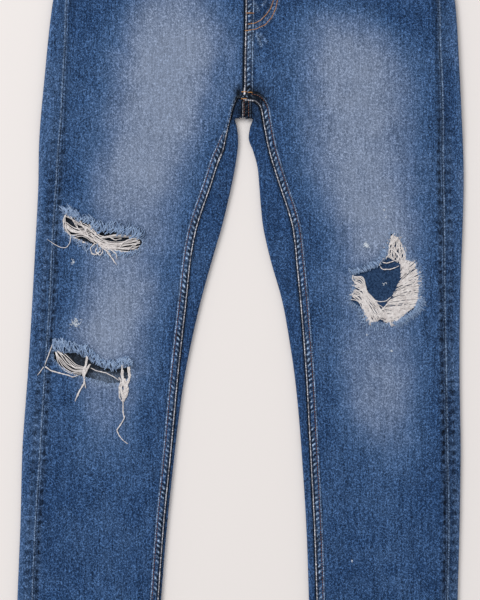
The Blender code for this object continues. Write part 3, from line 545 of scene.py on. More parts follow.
def round_fold(leg, fold, turn, angle, thick, shift=0.0):
    """A point round a fold, at an angle from -90 underneath to 90 on the face."""
    nx = -leg.sign * math.sin(math.radians(turn))
    ns = math.cos(math.radians(turn))
    reach = (FOLD - thick) * math.cos(angle) - FOLD
    mid = float(underside(fold[1])) + FOLD
    return (fold[0] + nx * reach + shift, fold[1] + ns * reach, mid + (FOLD - thick) * math.sin(angle))


def corner_row(leg, s_outer, fold_shift, last_angle):
    """A row that stops part way round the crotch fold, at the rise seam."""
    samples = flange_and_edge(leg, lambda x, face: s_outer, s_outer)
    centre = leg.centre + leg.sign * SEAM_GAP / 2
    fold = (centre + leg.sign * fold_shift, CROTCH)
    near = (centre + leg.sign * 14.0, CROTCH - FOLD - 1.5)
    samples += flat_samples(samples[-1][0][:2], near, UNDER_COLS)
    flat = round(INNER_COLS * 2 / 7)
    turned = INNER_COLS - flat
    for k in range(flat):
        t = k / flat
        x = mix(near[0], fold[0], t)
        s = mix(near[1], CROTCH - FOLD, t)
        z = float(underside(s))
        samples.append(((x, s, z), (x, s, z + CLOTH)))
    for k in range(turned):
        t = k / (turned - 1)
        angle = math.radians(mix(-90, last_angle, t))
        shift = -leg.sign * fold_shift * t
        samples.append((round_fold(leg, fold, 0, angle, 0, shift),
                        round_fold(leg, fold, 0, angle, CLOTH, shift)))
    return wall_row(samples)


def turned_row(leg, s_outer, fold, turn, end):
    """A row that goes round the fold of the leg and ends on the face."""
    samples = flange_and_edge(leg, lambda x, face: s_outer, s_outer)
    low = round_fold(leg, fold, turn, -math.pi / 2, 0)
    samples += flat_samples(samples[-1][0][:2], low[:2], UNDER_COLS)
    for a in ANGLES[::-1]:
        samples.append((round_fold(leg, fold, turn, a, 0), round_fold(leg, fold, turn, a, CLOTH)))
    over = round_fold(leg, fold, turn, math.pi / 2, 0)
    for k in range(1, INNER_FLANGE_COLS + 1):
        t = k / INNER_FLANGE_COLS
        x = mix(over[0], end[0], t)
        s = mix(over[1], end[1], t)
        top = float(underside(mix(fold[1], end[1], t))) + TUBE
        samples.append(((x, s, top), (x, s, top - CLOTH)))
    return wall_row(samples)


def yoke_station(leg, x):
    edge = float(leg.outer_edge(YOKE_AT_SIDE))
    t = min(max(1 - (x - leg.centre) / (edge - leg.centre), 0), 1)
    return mix(YOKE_AT_SIDE, YOKE_AT_CENTRE, t)


def seat_seam_row(leg, station_of):
    """A row along the yoke seam or the waist, from the outseam to centre back."""
    samples = flange_and_edge(leg, station_of, YOKE_AT_SIDE)
    centre = leg.centre + leg.sign * SEAM_GAP / 2
    near = centre + leg.sign * 16.0
    stop = samples[-1][0][0]
    xs = [mix(stop, near, k / (UNDER_COLS + 1)) for k in range(1, UNDER_COLS + 1)]
    xs += [mix(near, centre, k / (INNER_COLS - 1)) for k in range(INNER_COLS)]
    for x in xs:
        s = station_of(x, False)
        z = float(underside(s))
        samples.append(((x, s, z), (x, s, z + CLOTH)))
    return wall_row(samples)


def leg_rows(leg):
    for s in LEG_STATIONS + [LENGTH - HEM_HEIGHT, LENGTH]:
        yield s, (float(leg.inner_edge(s)), s), (float(leg.inseam(s)), s)


def back_relief(leg, grid):
    x, s, z = grid[..., 0], grid[..., 1], grid[..., 2]
    on_face = z > underside(s) + TUBE - 1.0
    out = np.abs(leg.outseam(s) - x)
    height = np.where(on_face, roped(out, s), 0.0)
    near, _ = line_distance(x, s, INSEAM[leg.name], 12.0)
    near = near.reshape(x.shape)
    height = height - np.where(on_face & (s > 255), 0.35 * np.exp(-(near / 1.2) ** 2), 0.0)
    fell = 0.6 * felled(seat_fell(leg, x, s), s)
    uneven = 0.5 * ripple(x * 1.3, s) * soft_step(0, 5, near)
    height = height + np.where(z > underside(s) + FOLD, uneven + np.maximum(fell, 0), 0.0)
    return height + np.where(on_face, hem_relief(s), 0.0)


def back_panel(leg):
    rows = [seat_seam_row(leg, lambda x, face: yoke_station(leg, x) + SEAM_GAP / 2)]
    rows += [seat_row(leg, 98, 124), seat_row(leg, SCOOP_END, 142)]
    rows += [seat_row(leg, a, b) for a, b in SEAT_ROWS]
    rows += [seat_row(leg, 256, 270), seat_row(leg, 262, CROTCH - FOLD - 0.5)]
    rows += [corner_row(leg, 266, 1.0, -20), corner_row(leg, 270, 2.0, 70)]
    half_gap = leg.sign * SEAM_GAP / 2
    for k, (outer, fx, fs, turn, ex, es) in enumerate(leg.fan):
        end = (leg.sign * ex + (half_gap if k < 3 else -half_gap), es + (0 if k < 2 else SEAM_GAP / 2))
        rows.append(turned_row(leg, outer, (leg.sign * fx, fs), turn, end))
    for s, fold, end in leg_rows(leg):
        rows.append(turned_row(leg, s, fold, 90, (end[0] - half_gap, s)))
    outer, inner = refine_walls(rows, ROW_STEP * FINE)
    return cloth_wall("denim_back_" + leg.name, lifted(outer, inner, back_relief(leg, outer)), inner)


def band_dip(x, face):
    r = min(abs(x - WAIST_CENTRE) / WAIST_HALF, 1.0)
    return SIDE_DIP + (FRONT_DIP - SIDE_DIP) * (1 - r * r) if face else SIDE_DIP * r * r


def band_seam(x, face):
    return band_dip(x, face) + BAND_HEIGHT + SEAM_GAP


def yoke(leg):
    rows = []
    for k in range(4):
        rows.append(seat_seam_row(leg, lambda x, face: mix(
            band_seam(x, face), yoke_station(leg, x) - SEAM_GAP / 2, k / 3)))
    outer, inner = refine_walls(rows, ROW_STEP * FINE)
    return cloth_wall("denim_yoke_" + leg.name, lifted(outer, inner, back_relief(leg, outer)), inner)


backs = {leg.name: back_panel(leg) for leg in (RIGHT, LEFT)}
yokes = {leg.name: yoke(leg) for leg in (RIGHT, LEFT)}

# %% [markdown]
# ## The front panels
# A front panel lies wholly on the face, from the outseam to the fly or inseam, with a scoop cut out
# at the top for the pocket. Its columns are close together beside both seams, where the puckers are,
# and wider apart in the middle. The left front laps over the right one, so its fly edge is raised.

# %% Front panels
NEAR_SEAM = [0, 0.5, 1.0, 1.5, 2.1, 2.8, 3.6, 4.6, 5.6, 6.4, 7.1, 7.7, 8.3, 8.9, 9.5, 10.4, 12.0, 14.0]
NEAR_FLY = NEAR_SEAM + [16, 18, 20, 22, 24, 26, 28, 30, 32, 34, 36, 38, 40, 42, 44, 46]
MIDDLE_COLS = int(54 / FINE)


def front_row(leg, start, end, along_band=False):
    length = math.hypot(end[0] - start[0], end[1] - start[1])
    near = NEAR_FLY if leg is LEFT else NEAR_SEAM
    ts = [d / length for d in NEAR_SEAM]
    ts += list(np.linspace(ts[-1], 1 - near[-1] / length, MIDDLE_COLS + 2)[1:-1])
    ts += [1 - d / length for d in near[::-1]]
    t = np.array(ts)
    x = mix(start[0], end[0], t)
    s = mix(start[1], end[1], t)
    if along_band:
        s = np.array([band_seam(v, True) for v in x])
    return np.stack([x, s, np.zeros_like(x)], axis=1)


def scoop(leg, t, offset=0.0):
    side = float(leg.outseam(SCOOP_END)) - leg.sign * SEAM_GAP / 2
    start = float(leg.outseam(BAND_HEIGHT)) - leg.sign * SCOOP_WIDTH
    top = band_seam(start, True)
    turn = t * math.pi / 2
    x = start + (side - start) * (1 - math.cos(turn)) - leg.sign * offset * math.cos(turn)
    return x, top + (SCOOP_END - top) * math.sin(turn) + offset * math.sin(turn)


def face_height(leg, x, s):
    return underside(s) + TUBE + (crease(x, s) + ripple(x, s)) * edge_window(leg, x, s)


def front_panel(leg):
    rows = []
    half_gap = leg.sign * SEAM_GAP / 2
    for k in range(7):
        s_in = mix(band_seam(FLY_EDGE, True), 165, k / 6)
        end = (float(fly_x(s_in)) + half_gap, s_in)
        rows.append(front_row(leg, scoop(leg, k / 6), end, k == 0))
    for s_out, s_in in SEAT_ROWS + [(262, 248)]:
        rows.append(front_row(leg, (float(leg.outseam(s_out)) - half_gap, s_out),
                              (float(fly_x(s_in)) + half_gap, s_in)))
    for outer, _, _, _, ex, es in leg.fan[2:]:
        rows.append(front_row(leg, (float(leg.outseam(outer)) - half_gap, outer),
                              (leg.sign * ex + half_gap, es - SEAM_GAP / 2)))
    for s, _, end in leg_rows(leg):
        rows.append(front_row(leg, (float(leg.outseam(s)) - half_gap, s), (end[0] + half_gap, s)))
    plan = refine_rows(rows, ROW_STEP * FINE)
    x, s = plan[..., 0], plan[..., 1]
    height = face_height(leg, x, s)
    outer = plan.copy()
    outer[..., 2] = height + front_relief(leg, x, s)
    inner = plan.copy()
    inner[..., 2] = height - CLOTH
    return cloth_wall("denim_front_" + leg.name, outer, inner)


fronts = {leg.name: front_panel(leg) for leg in (RIGHT, LEFT)}

# %% [markdown]
# ## Cutting the rips
# A rip is where the blue warp has been cut away. Its outline is uneven, so each outline gets extra
# points and a ragged shift before it becomes an upright prism, and a Boolean takes that prism out of
# the wall. Cutting the finished wall keeps a real edge with the cloth's thickness.

# %% Rip outlines
THIGH_RIP = np.array([
    (-216, 399.4), (-204.4, 403.5), (-198, 409), (-186, 412.6), (-177.6, 421), (-160.8, 422.2),
    (-144, 425.8), (-127.2, 428.2), (-122.4, 435.4), (-127.2, 445), (-141.6, 448), (-160, 445.6),
    (-186, 437.8), (-206.4, 429.4), (-216, 421)])
RIGHT_KNEE_RIP = np.array([
    (-229, 566.2), (-211.2, 568.6), (-200.4, 568.6), (-190.8, 573.4), (-181.2, 579.4),
    (-168.6, 586.6), (-153, 587.8), (-137.4, 585.4), (-135.6, 596.2), (-146.4, 604.6),
    (-163.2, 605), (-184.8, 599), (-203, 594), (-218.4, 586), (-228, 576)])
LEFT_KNEE_RIP = np.array([
    (176.4, 424.6), (186.4, 430.2), (191.8, 444.4), (194.2, 457), (204.8, 459.2), (210, 475),
    (210, 502.6), (202.8, 519.4), (183.6, 530.2), (169.2, 533.8), (150, 532.6), (140.4, 515),
    (127.2, 506.2), (133.4, 491.8), (130.8, 473.8), (145.2, 470.2), (163.2, 461.8), (171.6, 448.6)])
RIPS = {"thigh": THIGH_RIP, "right_knee": RIGHT_KNEE_RIP, "left_knee": LEFT_KNEE_RIP}


def closed_steps(outline, step):
    """Points every few millimetres round a closed outline."""
    ring = np.concatenate([outline, outline[:1]])
    lengths = np.concatenate([[0], np.cumsum(np.hypot(*np.diff(ring, axis=0).T))])
    at = np.arange(0, lengths[-1] - 0.4 * step, step)
    return np.stack([np.interp(at, lengths, ring[:, 0]), np.interp(at, lengths, ring[:, 1])], axis=1)


def outward(points):
    """Unit vectors pointing out of a closed ring of points."""
    tangent = np.roll(points, -1, axis=0) - np.roll(points, 1, axis=0)
    tangent /= np.maximum(np.linalg.norm(tangent, axis=1, keepdims=True), 1e-6)
    after = np.roll(points, -1, axis=0)
    area = (points[:, 0] * after[:, 1] - after[:, 0] * points[:, 1]).sum()
    return np.stack([tangent[:, 1], -tangent[:, 0]], axis=1) * (1 if area > 0 else -1)


def cut_rip(panel, name, outline):
    rng = np.random.RandomState(len(name))
    ragged = closed_steps(outline, 1.7)
    ragged = ragged + outward(ragged) * rng.uniform(-0.7, 0.5, (len(ragged), 1))
    count = len(ragged)
    points = np.concatenate([np.c_[ragged, np.full(count, 3.0)], np.c_[ragged, np.full(count, 12.0)]])
    k = np.arange(count)
    n = (k + 1) % count
    sides = np.stack([k, n, n + count, k + count], axis=1)
    faces = [tuple(k[::-1]), tuple(k + count)] + [tuple(f) for f in sides]
    cutter = new_mesh(name + "_cutter", place(points), faces)
    area = (ragged[:, 0] * ragged[n, 1] - ragged[n, 0] * ragged[:, 1]).sum()
    if area > 0:
        cutter.data.flip_normals()
    modifier = panel.modifiers.new("rip", "BOOLEAN")
    modifier.object = cutter
    modifier.solver = "EXACT"
    depsgraph = bpy.context.evaluated_depsgraph_get()
    cut = bpy.data.meshes.new_from_object(panel.evaluated_get(depsgraph))
    panel.modifiers.clear()
    panel.data = cut
    bpy.data.objects.remove(cutter)
    print("cut", name, "leaving", len(cut.polygons), "faces")


cut_rip(fronts["right"], "thigh", THIGH_RIP)
cut_rip(fronts["right"], "right_knee", RIGHT_KNEE_RIP)
cut_rip(fronts["left"], "left_knee", LEFT_KNEE_RIP)

# %% [markdown]
# ## Waistband, loops, pockets and facings
# The waistband is one straight strip, folded double and fastened at the fly, so its left end lies
# over its right end. The belt loops, the back pockets and the facings inside the front pockets are
# flat pieces sewn on. A helper makes each from rows that give a left side, a right side, a station
# and two heights. Their edges are turned in on the real piece, so the helper rounds them.

# %% Waistband
BAND_CLOTH = 2.5
BAND_PROUD = 0.9
BAND_LAP = 38.0
BAND_RAMP = 26.0
BAND_TOP = SEAT_LIFT + TUBE + BAND_PROUD


def waistband():
    s_mid = BAND_HEIGHT / 2
    left = float(LEFT.outer_edge(s_mid))
    right = float(RIGHT.outer_edge(s_mid))
    rim = (BAND_TOP - SEAT_LIFT) / 2
    many = int(60 / FINE)
    path = [(x, BAND_TOP, 0.0, 1.0) for x in np.linspace(BAND_LAP, right + rim, many)]
    for a in np.radians(np.linspace(70, -70, 8)):
        high = SEAT_LIFT + rim + rim * math.sin(a)
        path.append((right + rim - rim * math.cos(a), high, -math.cos(a), math.sin(a)))
    path += [(x, SEAT_LIFT, 0.0, -1.0) for x in np.linspace(right + rim, left - rim, 2 * many)]
    for a in np.radians(np.linspace(-70, 70, 8)):
        high = SEAT_LIFT + rim + rim * math.sin(a)
        path.append((left - rim + rim * math.cos(a), high, math.cos(a), math.sin(a)))
    flat_end = BAND_LAP + 4.0
    for x in np.linspace(left - rim, FLY_EDGE, int(1.2 * many)):
        lap = (BAND_CLOTH + SEAM_GAP) * (1 - soft_step(flat_end, flat_end + BAND_RAMP, x))
        path.append((x, BAND_TOP + float(lap), 0.0, 1.0))
    outer = []
    inner = []
    down = np.array([0, 0.8, 1.6, 2.4, 3.2, 4.5, 7, 12, 18, 24, 30, 34, 36, 36.9, 37.7, 38.5, 39.3, 40.0])
    for x, z, nx, nz in path:
        face = abs(nz) < 0.999 or nz > 0
        dip = SIDE_DIP if abs(nz) < 0.999 else band_dip(x, face)
        wide = WAIST_CENTRE + (x - WAIST_CENTRE) * (1 + 0.011 * (down / 20 - 1))
        from_edge = np.minimum(down, BAND_HEIGHT - down)
        sink = 0.5 * np.exp(-(from_edge / 0.9) ** 2) + 0.3 * np.exp(-((from_edge - 2.4) / 0.6) ** 2)
        swell = (0.15 * patchy(x, down * 2, 12.0, 6) + 0.12) * soft_step(2, 8, from_edge) - sink
        if not face:
            swell = -sink
        row = np.stack([wide + nx * swell, dip + down, z + nz * swell], axis=1)
        outer.append(row)
        inside = np.full(len(down), z - nz * BAND_CLOTH)
        inner.append(np.stack([wide - nx * BAND_CLOTH, dip + down, inside], axis=1))
    return cloth_wall("denim_waistband", np.array(outer), np.array(inner))


def flat_piece(name, rows, step, face_up=True, across=12):
    """A sewn-on piece from rows of left x, right x, station, low z and high z."""
    rows = np.asarray(rows, dtype=float)
    lengths = np.concatenate([[0], np.cumsum(np.abs(np.diff(rows[:, 2])))])
    at = np.arange(0, lengths[-1] + step / 2, step)
    at[-1] = lengths[-1]
    made = np.stack([np.interp(at, lengths, rows[:, k]) for k in range(5)], axis=1)
    t = 0.5 - 0.5 * np.cos(np.linspace(0, math.pi, across))
    x = made[:, :1] + (made[:, 1:2] - made[:, :1]) * t
    s = np.repeat(made[:, 2:3], across, axis=1)
    from_side = np.minimum(x - made[:, :1], made[:, 1:2] - x)
    from_end = np.minimum(at, at[-1] - at)[:, None] + 0 * x
    soft = 0.45 * np.exp(-(np.minimum(from_side, from_end) / 0.8) ** 2)
    high = np.stack([x, s, made[:, 4:5] + 0 * x - (soft if face_up else 0)], axis=2)
    low = np.stack([x, s, made[:, 3:4] + 0 * x + (0 if face_up else soft)], axis=2)
    return cloth_wall(name, high, low) if face_up else cloth_wall(name, low, high)


band = waistband()
LOOP_WIDTH = 12.0
LOOP_LENGTH = 53.0
LOOP_OFFSET = 104.0
loops = {}
for name, x in (("front_right", WAIST_CENTRE - LOOP_OFFSET), ("front_left", WAIST_CENTRE + LOOP_OFFSET)):
    dip = band_dip(x, True)
    proud = BAND_TOP + SEAM_GAP
    low = SEAT_LIFT + TUBE + 0.5 + SEAM_GAP
    rows = [(x - LOOP_WIDTH / 2, x + LOOP_WIDTH / 2, dip + down, z, z + CLOTH) for down, z in (
        (1, proud), (BAND_HEIGHT + 1, proud), (BAND_HEIGHT + 5, low), (LOOP_LENGTH, low))]
    loops[name] = flat_piece("denim_loop_" + name, rows, 1.5 * FINE)
for name, x in (("back_right", WAIST_CENTRE - LOOP_OFFSET), ("back_left", WAIST_CENTRE + LOOP_OFFSET),
                ("centre_back", SEAT_SEAM)):
    dip = band_dip(x, False)
    rows = [(x - LOOP_WIDTH / 2, x + LOOP_WIDTH / 2, dip + down, 0, CLOTH) for down in (1, LOOP_LENGTH)]
    loops[name] = flat_piece("denim_loop_" + name, rows, 1.5 * FINE, face_up=False)


# %% Pockets and facings
POCKET_TOP = 118.0
POCKET_SIDE = 140.0
POCKET_TIP = 162.0
POCKET_WIDTHS = (150.0, 132.0)
POCKET_OFFSET = 112.0


def pocket_outline(leg, inset):
    """The back pocket's outline, moved in by an amount."""
    x = leg.centre + leg.sign * POCKET_OFFSET
    wide = POCKET_WIDTHS[0] / 2 - inset
    narrow = POCKET_WIDTHS[1] / 2 - inset
    return [(x - wide, POCKET_TOP + inset), (x - narrow, POCKET_TOP + POCKET_SIDE - inset * 0.8),
            (x, POCKET_TOP + POCKET_TIP - inset * 1.1), (x + narrow, POCKET_TOP + POCKET_SIDE - inset * 0.8),
            (x + wide, POCKET_TOP + inset)]


def shares(count):
    """Even shares from 0 to 1, closer together at both ends."""
    return np.concatenate([[0, 0.006, 0.015], np.linspace(0.03, 0.97, int(count / FINE)), [0.985, 0.994, 1]])


def back_pocket(leg):
    x = leg.centre + leg.sign * POCKET_OFFSET
    v = shares(34)[:, None]
    t = shares(32)[None, :]
    half = mix(POCKET_WIDTHS[0], POCKET_WIDTHS[1], v) / 2
    xs = x - half + 2 * half * t
    depth = mix(POCKET_SIDE, POCKET_TIP, 1 - np.abs(2 * t - 1))
    ss = POCKET_TOP + depth * v
    edge = np.minimum(np.minimum(t, 1 - t) * 2 * half, np.minimum(v, 1 - v) * depth)
    outer = np.stack([xs, ss, 0.4 * np.exp(-(edge / 0.9) ** 2) + 0.25 * np.exp(-((edge - 2.2) / 0.7) ** 2)
                      + 0.25 * np.exp(-((edge - 8.2) / 0.7) ** 2)], axis=2)
    inner = np.stack([xs, ss, np.full_like(xs, CLOTH)], axis=2)
    return cloth_wall("denim_back_pocket_" + leg.name, outer, inner)


def pocket_facing(leg):
    drop = CLOTH + SEAM_GAP
    first = band_seam(float(leg.outseam(BAND_HEIGHT)), True)
    outer = []
    for k in range(25):
        t = k / 24
        start = scoop(leg, t, 8.0)
        s_side = mix(first, SCOOP_END + 8.0, t)
        end = (float(leg.outseam(s_side)) + leg.sign * 4.0, s_side)
        u = np.linspace(0, 1, 24)
        x = mix(start[0], end[0], u)
        s = np.array([band_seam(v, True) for v in x]) if k == 0 else mix(start[1], end[1], u)
        outer.append(np.stack([x, s, underside(s) + TUBE - drop], axis=1))
    outer = np.array(outer)
    return cloth_wall("denim_facing_" + leg.name, outer, outer - np.array([0, 0, CLOTH]))


pockets = {leg.name: back_pocket(leg) for leg in (RIGHT, LEFT)}
facings = {leg.name: pocket_facing(leg) for leg in (RIGHT, LEFT)}

# %% [markdown]
# ## The knee patch and the button
# Behind the left knee a piece of dark twill was sewn in, so that the rip shows cloth and not skin.
# It is one plain sheet just under the front. The button is turned metal: its profile is spun round.

# %% Patch and button
PATCH = (73.0, 214.0, 405.0, 569.0)
xs, ss = np.meshgrid(np.linspace(PATCH[0], PATCH[1], int(60 / FINE)),
                     np.linspace(PATCH[2], PATCH[3], int(70 / FINE)))
top = face_height(LEFT, xs, ss) - CLOTH - SEAM_GAP - 0.12 * (1 + patchy(xs, ss, 18.0, 7))
patch = cloth_wall("twill_knee_patch", np.stack([xs, ss, top], axis=2), np.stack([xs, ss, top - 0.8], axis=2))

BUTTON_X = FLY_EDGE + 15.0
BUTTON_S = band_dip(BUTTON_X, True) + BAND_HEIGHT / 2
BUTTON_PROFILE = np.array([
    (0.01, 0), (4.2, 0), (4.2, 1.6), (7.5, 1.5), (8.2, 1.8), (8.5, 2.4), (8.5, 3.1), (8.1, 3.7), (7.4, 4.1),
    (6.6, 4.2), (6.0, 4.05), (5.6, 3.7), (5.3, 3.55), (3.0, 3.7), (0.01, 3.8)])


def spun(name, x, s, foot, profile, sides):
    angle = np.linspace(0, 2 * math.pi, sides + 1)[:-1]
    rings = np.stack([x + profile[:, :1] * np.cos(angle), s + profile[:, :1] * np.sin(angle),
                      foot + profile[:, 1:] + 0 * angle], axis=2)
    k = np.arange(sides)
    faces = [np.stack([k + i * sides, (k + 1) % sides + i * sides, (k + 1) % sides + (i + 1) * sides,
                       k + (i + 1) * sides], axis=1)[:, ::-1] for i in range(len(profile) - 1)]
    return new_mesh(name, place(rings.reshape(-1, 3)), np.concatenate(faces), 50)


button = spun("shank_button", BUTTON_X, BUTTON_S, BAND_TOP + BAND_CLOTH + 2 * SEAM_GAP, BUTTON_PROFILE, 48)

# %% [markdown]
# ## Stitches and threads
# Thread is a round thing that dips into the cloth, so each stitch is a short arched tube, and a seam
# is a few hundred of them joined in one mesh. A ray from above finds how high the cloth is at each
# one. Loose threads are longer tapered tubes through points.

# %% Thread tools
def cloth_tree(objects):
    points = []
    faces = []
    for made in objects:
        start = len(points)
        points += [v.co.copy() for v in made.data.vertices]
        faces += [[start + i for i in p.vertices] for p in made.data.polygons]
    return BVHTree.FromPolygons(points, faces)


all_denim = ([fronts[k] for k in fronts] + [backs[k] for k in backs] + [yokes[k] for k in yokes]
             + [band] + [loops[k] for k in loops] + [pockets[k] for k in pockets]
             + [facings[k] for k in facings])
tree = cloth_tree(all_denim + [patch])


def cloth_height(points, way=1.0):
    """Height in millimetres of the cloth at plan points, seen from above or from below."""
    found = []
    for x, y, _ in place(np.c_[points, np.zeros(len(points))]):
        hit = tree.ray_cast(Vector((x, y, 0.05 * way)), Vector((0, 0, -way)))[0]
        found.append(hit.z / MM if hit is not None else np.nan)
    return np.array(found)


def steps_along(line, step):
    """Evenly spaced points and directions along a line."""
    line = np.asarray(line, dtype=float)
    lengths = np.concatenate([[0], np.cumsum(np.linalg.norm(np.diff(line, axis=0), axis=1))])
    at = np.arange(step / 2, lengths[-1], step)
    points = np.stack([np.interp(at, lengths, line[:, k]) for k in range(line.shape[1])], axis=1)
    ahead = np.stack([np.interp(at + 0.5, lengths, line[:, k]) for k in range(line.shape[1])], axis=1)
    behind = np.stack([np.interp(at - 0.5, lengths, line[:, k]) for k in range(line.shape[1])], axis=1)
    way = ahead - behind
    return points, way / np.maximum(np.linalg.norm(way, axis=1, keepdims=True), 1e-6)


STITCH_ALONG = np.array([-0.5, -0.32, 0.0, 0.32, 0.5])
STITCH_RISE = np.array([-0.45, 0.12, 0.26, 0.12, -0.45])
STITCH_FULL = np.array([0.55, 0.95, 1.0, 0.95, 0.55])
STITCH_SIDES = 5


def stitch_rows(name, lines, pitch=3.2, length=2.5, radius=0.36, way=1.0, sink=0.0):
    """Rows of arched stitches along plan lines, as one mesh."""
    rng = np.random.RandomState(len(name))
    points = []
    for line in lines:
        centres, along = steps_along(line, pitch)
        height = cloth_height(centres, way)
        keep = ~np.isnan(height)
        centres, along, height = centres[keep], along[keep], height[keep]
        side = np.stack([-along[:, 1], along[:, 0]], axis=1)
        centres = centres + side * rng.uniform(-0.12, 0.12, (len(side), 1))
        for ring in range(5):
            for k in range(STITCH_SIDES):
                a = 2 * math.pi * k / STITCH_SIDES
                flat = radius * STITCH_FULL[ring] * math.cos(a)
                up = radius * STITCH_FULL[ring] * math.sin(a) * 0.8 + STITCH_RISE[ring] - sink
                plan = centres + along * STITCH_ALONG[ring] * length + side * flat
                points.append(np.c_[plan, height + way * up])
        block = np.stack(points[-5 * STITCH_SIDES:], axis=1)
        points = points[:-5 * STITCH_SIDES] + [block]
    blocks = np.concatenate(points)
    count = len(blocks)
    k = np.arange(STITCH_SIDES)
    first = np.stack([k, (k + 1) % 5, (k + 1) % 5 + 5, k + 5], axis=1)
    one = np.concatenate([first + r * 5 for r in range(4)])
    faces = (one[None] + (np.arange(count) * 25)[:, None, None]).reshape(-1, 4)
    made = new_mesh(name, place(blocks.reshape(-1, 3)), faces, 80)
    print(name, count, "stitches")
    return made


class Threads:
    """Collects tapered tubes, and makes them one mesh."""

    def __init__(self, name):
        self.name = name
        self.points = []
        self.faces = []
        self.count = 0
        self.strands = 0

    def add(self, line, radius, taper=0.35, sides=4, step=2.2):
        line = np.asarray(line, dtype=float)
        lengths = np.concatenate([[0], np.cumsum(np.linalg.norm(np.diff(line, axis=0), axis=1))])
        count = max(int(lengths[-1] / step), 3)
        line = curve(np.maximum.accumulate(lengths + 1e-6 * np.arange(len(lengths))), line,
                     np.linspace(0, lengths[-1], count + 1))
        way = np.gradient(line, axis=0)
        way /= np.maximum(np.linalg.norm(way, axis=1, keepdims=True), 1e-6)
        side = np.cross(way, (0, 0, 1.0))
        side /= np.maximum(np.linalg.norm(side, axis=1, keepdims=True), 1e-6)
        up = np.cross(side, way)
        t = np.linspace(0, 1, count + 1)
        full = radius * (1 - (1 - taper) * soft_step(0.7, 1.0, t))
        for k in range(sides):
            a = 2 * math.pi * (k + 0.5) / sides
            self.points.append(line + (side * math.cos(a) + up * math.sin(a)) * full[:, None])
        k, i = np.meshgrid(np.arange(sides), np.arange(count), indexing="ij")
        a = (k * (count + 1) + i).ravel()
        b = ((k + 1) % sides * (count + 1) + i).ravel()
        self.faces.append(np.stack([a, b, b + 1, a + 1], axis=1) + self.count)
        for i in (0, count):
            cap = np.array([k * (count + 1) + i for k in range(sides)]) + self.count
            self.faces.append((cap if i else cap[::-1])[None])
        self.count += sides * (count + 1)
        self.strands += 1

    def mesh(self):
        made = new_mesh(self.name, place(np.concatenate(self.points)), np.concatenate(self.faces), 80)
        triangles = sum(len(p.vertices) - 2 for p in made.data.polygons)
        print(self.name, self.strands, "strands,", triangles, "triangles")
        return made


def between(upper, lower, v, u):
    """A plan point between two curves: v from upper to lower, u along them."""
    at = np.linspace(0, 1, 40)

    def even(line):
        line = np.asarray(line, dtype=float)
        lengths = np.concatenate([[0], np.cumsum(np.hypot(*np.diff(line, axis=0).T))])
        return curve(lengths / lengths[-1], line, at)

    a = even(upper)
    b = even(lower)
    top = np.stack([np.interp(u, at, a[:, 0]), np.interp(u, at, a[:, 1])], axis=-1)
    low = np.stack([np.interp(u, at, b[:, 0]), np.interp(u, at, b[:, 1])], axis=-1)
    return top + (low - top) * np.asarray(v)[..., None]


def on_cloth(plan, radius, lift=0.0):
    """The plan line laid on the cloth, and hung evenly across holes."""
    height = cloth_height(plan)
    level = underside(plan[:, 1]) + TUBE
    height = np.maximum(np.nan_to_num(height, nan=-9.0), level - 1.1)
    return np.c_[plan, height + 0.7 * radius + lift]


# %% [markdown]
# ## Threads left in the rips
# Denim has blue threads down the leg and pale ones across. In a rip the blue ones are gone and the
# pale ones stay, so they span the hole from side to side and sag. The threads of the thigh rip lie
# between its upper and lower edge in a few bundles, with slits of shadow between them.

# %% Thigh rip
def span_threads(bag, upper, lower, count, wander, seed, radius=0.55, depth=0.7, first=-0.02, last=1.02):
    """Threads between two plan curves, each wandering from one towards the other."""
    rng = np.random.RandomState(seed)
    u = np.linspace(first, last, 17)
    for k in range(count):
        v = (k + rng.uniform(0.1, 0.9)) / count
        sway = wander * patchy(u * 60, np.full(17, 7.0 * k + 90 * v), 11.0, seed)
        plan = between(upper, lower, v + sway, u)
        level = underside(plan[:, 1]) + TUBE
        z = level - depth + 0.55 * patchy(u * 80, np.full(17, 11.0 * k), 11.0, seed + 1)
        from_end = np.minimum(u - first, last - u) / 0.05
        bag.add(np.c_[plan, z - 0.9 * np.exp(-from_end ** 2)], rng.uniform(0.8, 1.2) * radius, taper=0.8)


def bundle(bag, line, count, spread, seed, radius=0.5, step=2.5, lift=0.25):
    """Threads laid along one plan line that wind round each other, on the cloth."""
    rng = np.random.RandomState(seed)
    plan, way = steps_along(line, step)
    side = np.stack([-way[:, 1], way[:, 0]], axis=1)
    turn = np.arange(len(plan)) * step / 11.0
    for k in range(count):
        phase = 2 * math.pi * (turn + k / count) + rng.uniform(0, 1)
        offset = spread * (0.6 * np.sin(phase) + 0.8 * patchy(turn * 30, 0 * turn + 9 * k, 9.0, seed))
        bag.add(on_cloth(plan + side * offset[:, None], radius, lift + 0.35 * (1 + np.cos(phase))), radius)


# the mass of threads: first curve, second curve, count, wander
THIGH_FLOWS = (
    ([(-215, 400), (-204, 405), (-194, 411), (-182, 421), (-170, 428), (-156, 426), (-139, 427), (-125, 428)],
     [(-216, 404), (-206, 410), (-197, 416), (-185, 422), (-173, 431), (-158, 429), (-139, 429),
      (-125, 431)], 4, 0.5),
    ([(-216, 408), (-206, 418), (-196, 421), (-184, 423), (-170, 432), (-156, 435.5), (-139, 435),
      (-125, 432)],
     [(-217, 421), (-209, 427), (-194, 428.5), (-182, 437), (-168, 441.5), (-154, 444), (-139, 445),
      (-125, 444)],
     15, 0.4),
    ([(-217, 422), (-206, 429), (-194, 434), (-182, 439), (-172, 441)],
     [(-214, 425), (-203, 432), (-192, 437), (-180, 443), (-168, 445)], 5, 0.4),
    ([(-168, 441), (-150, 445), (-136, 446), (-125, 444)],
     [(-166, 444), (-150, 447.5), (-136, 448.5), (-126, 447)], 3, 0.4))
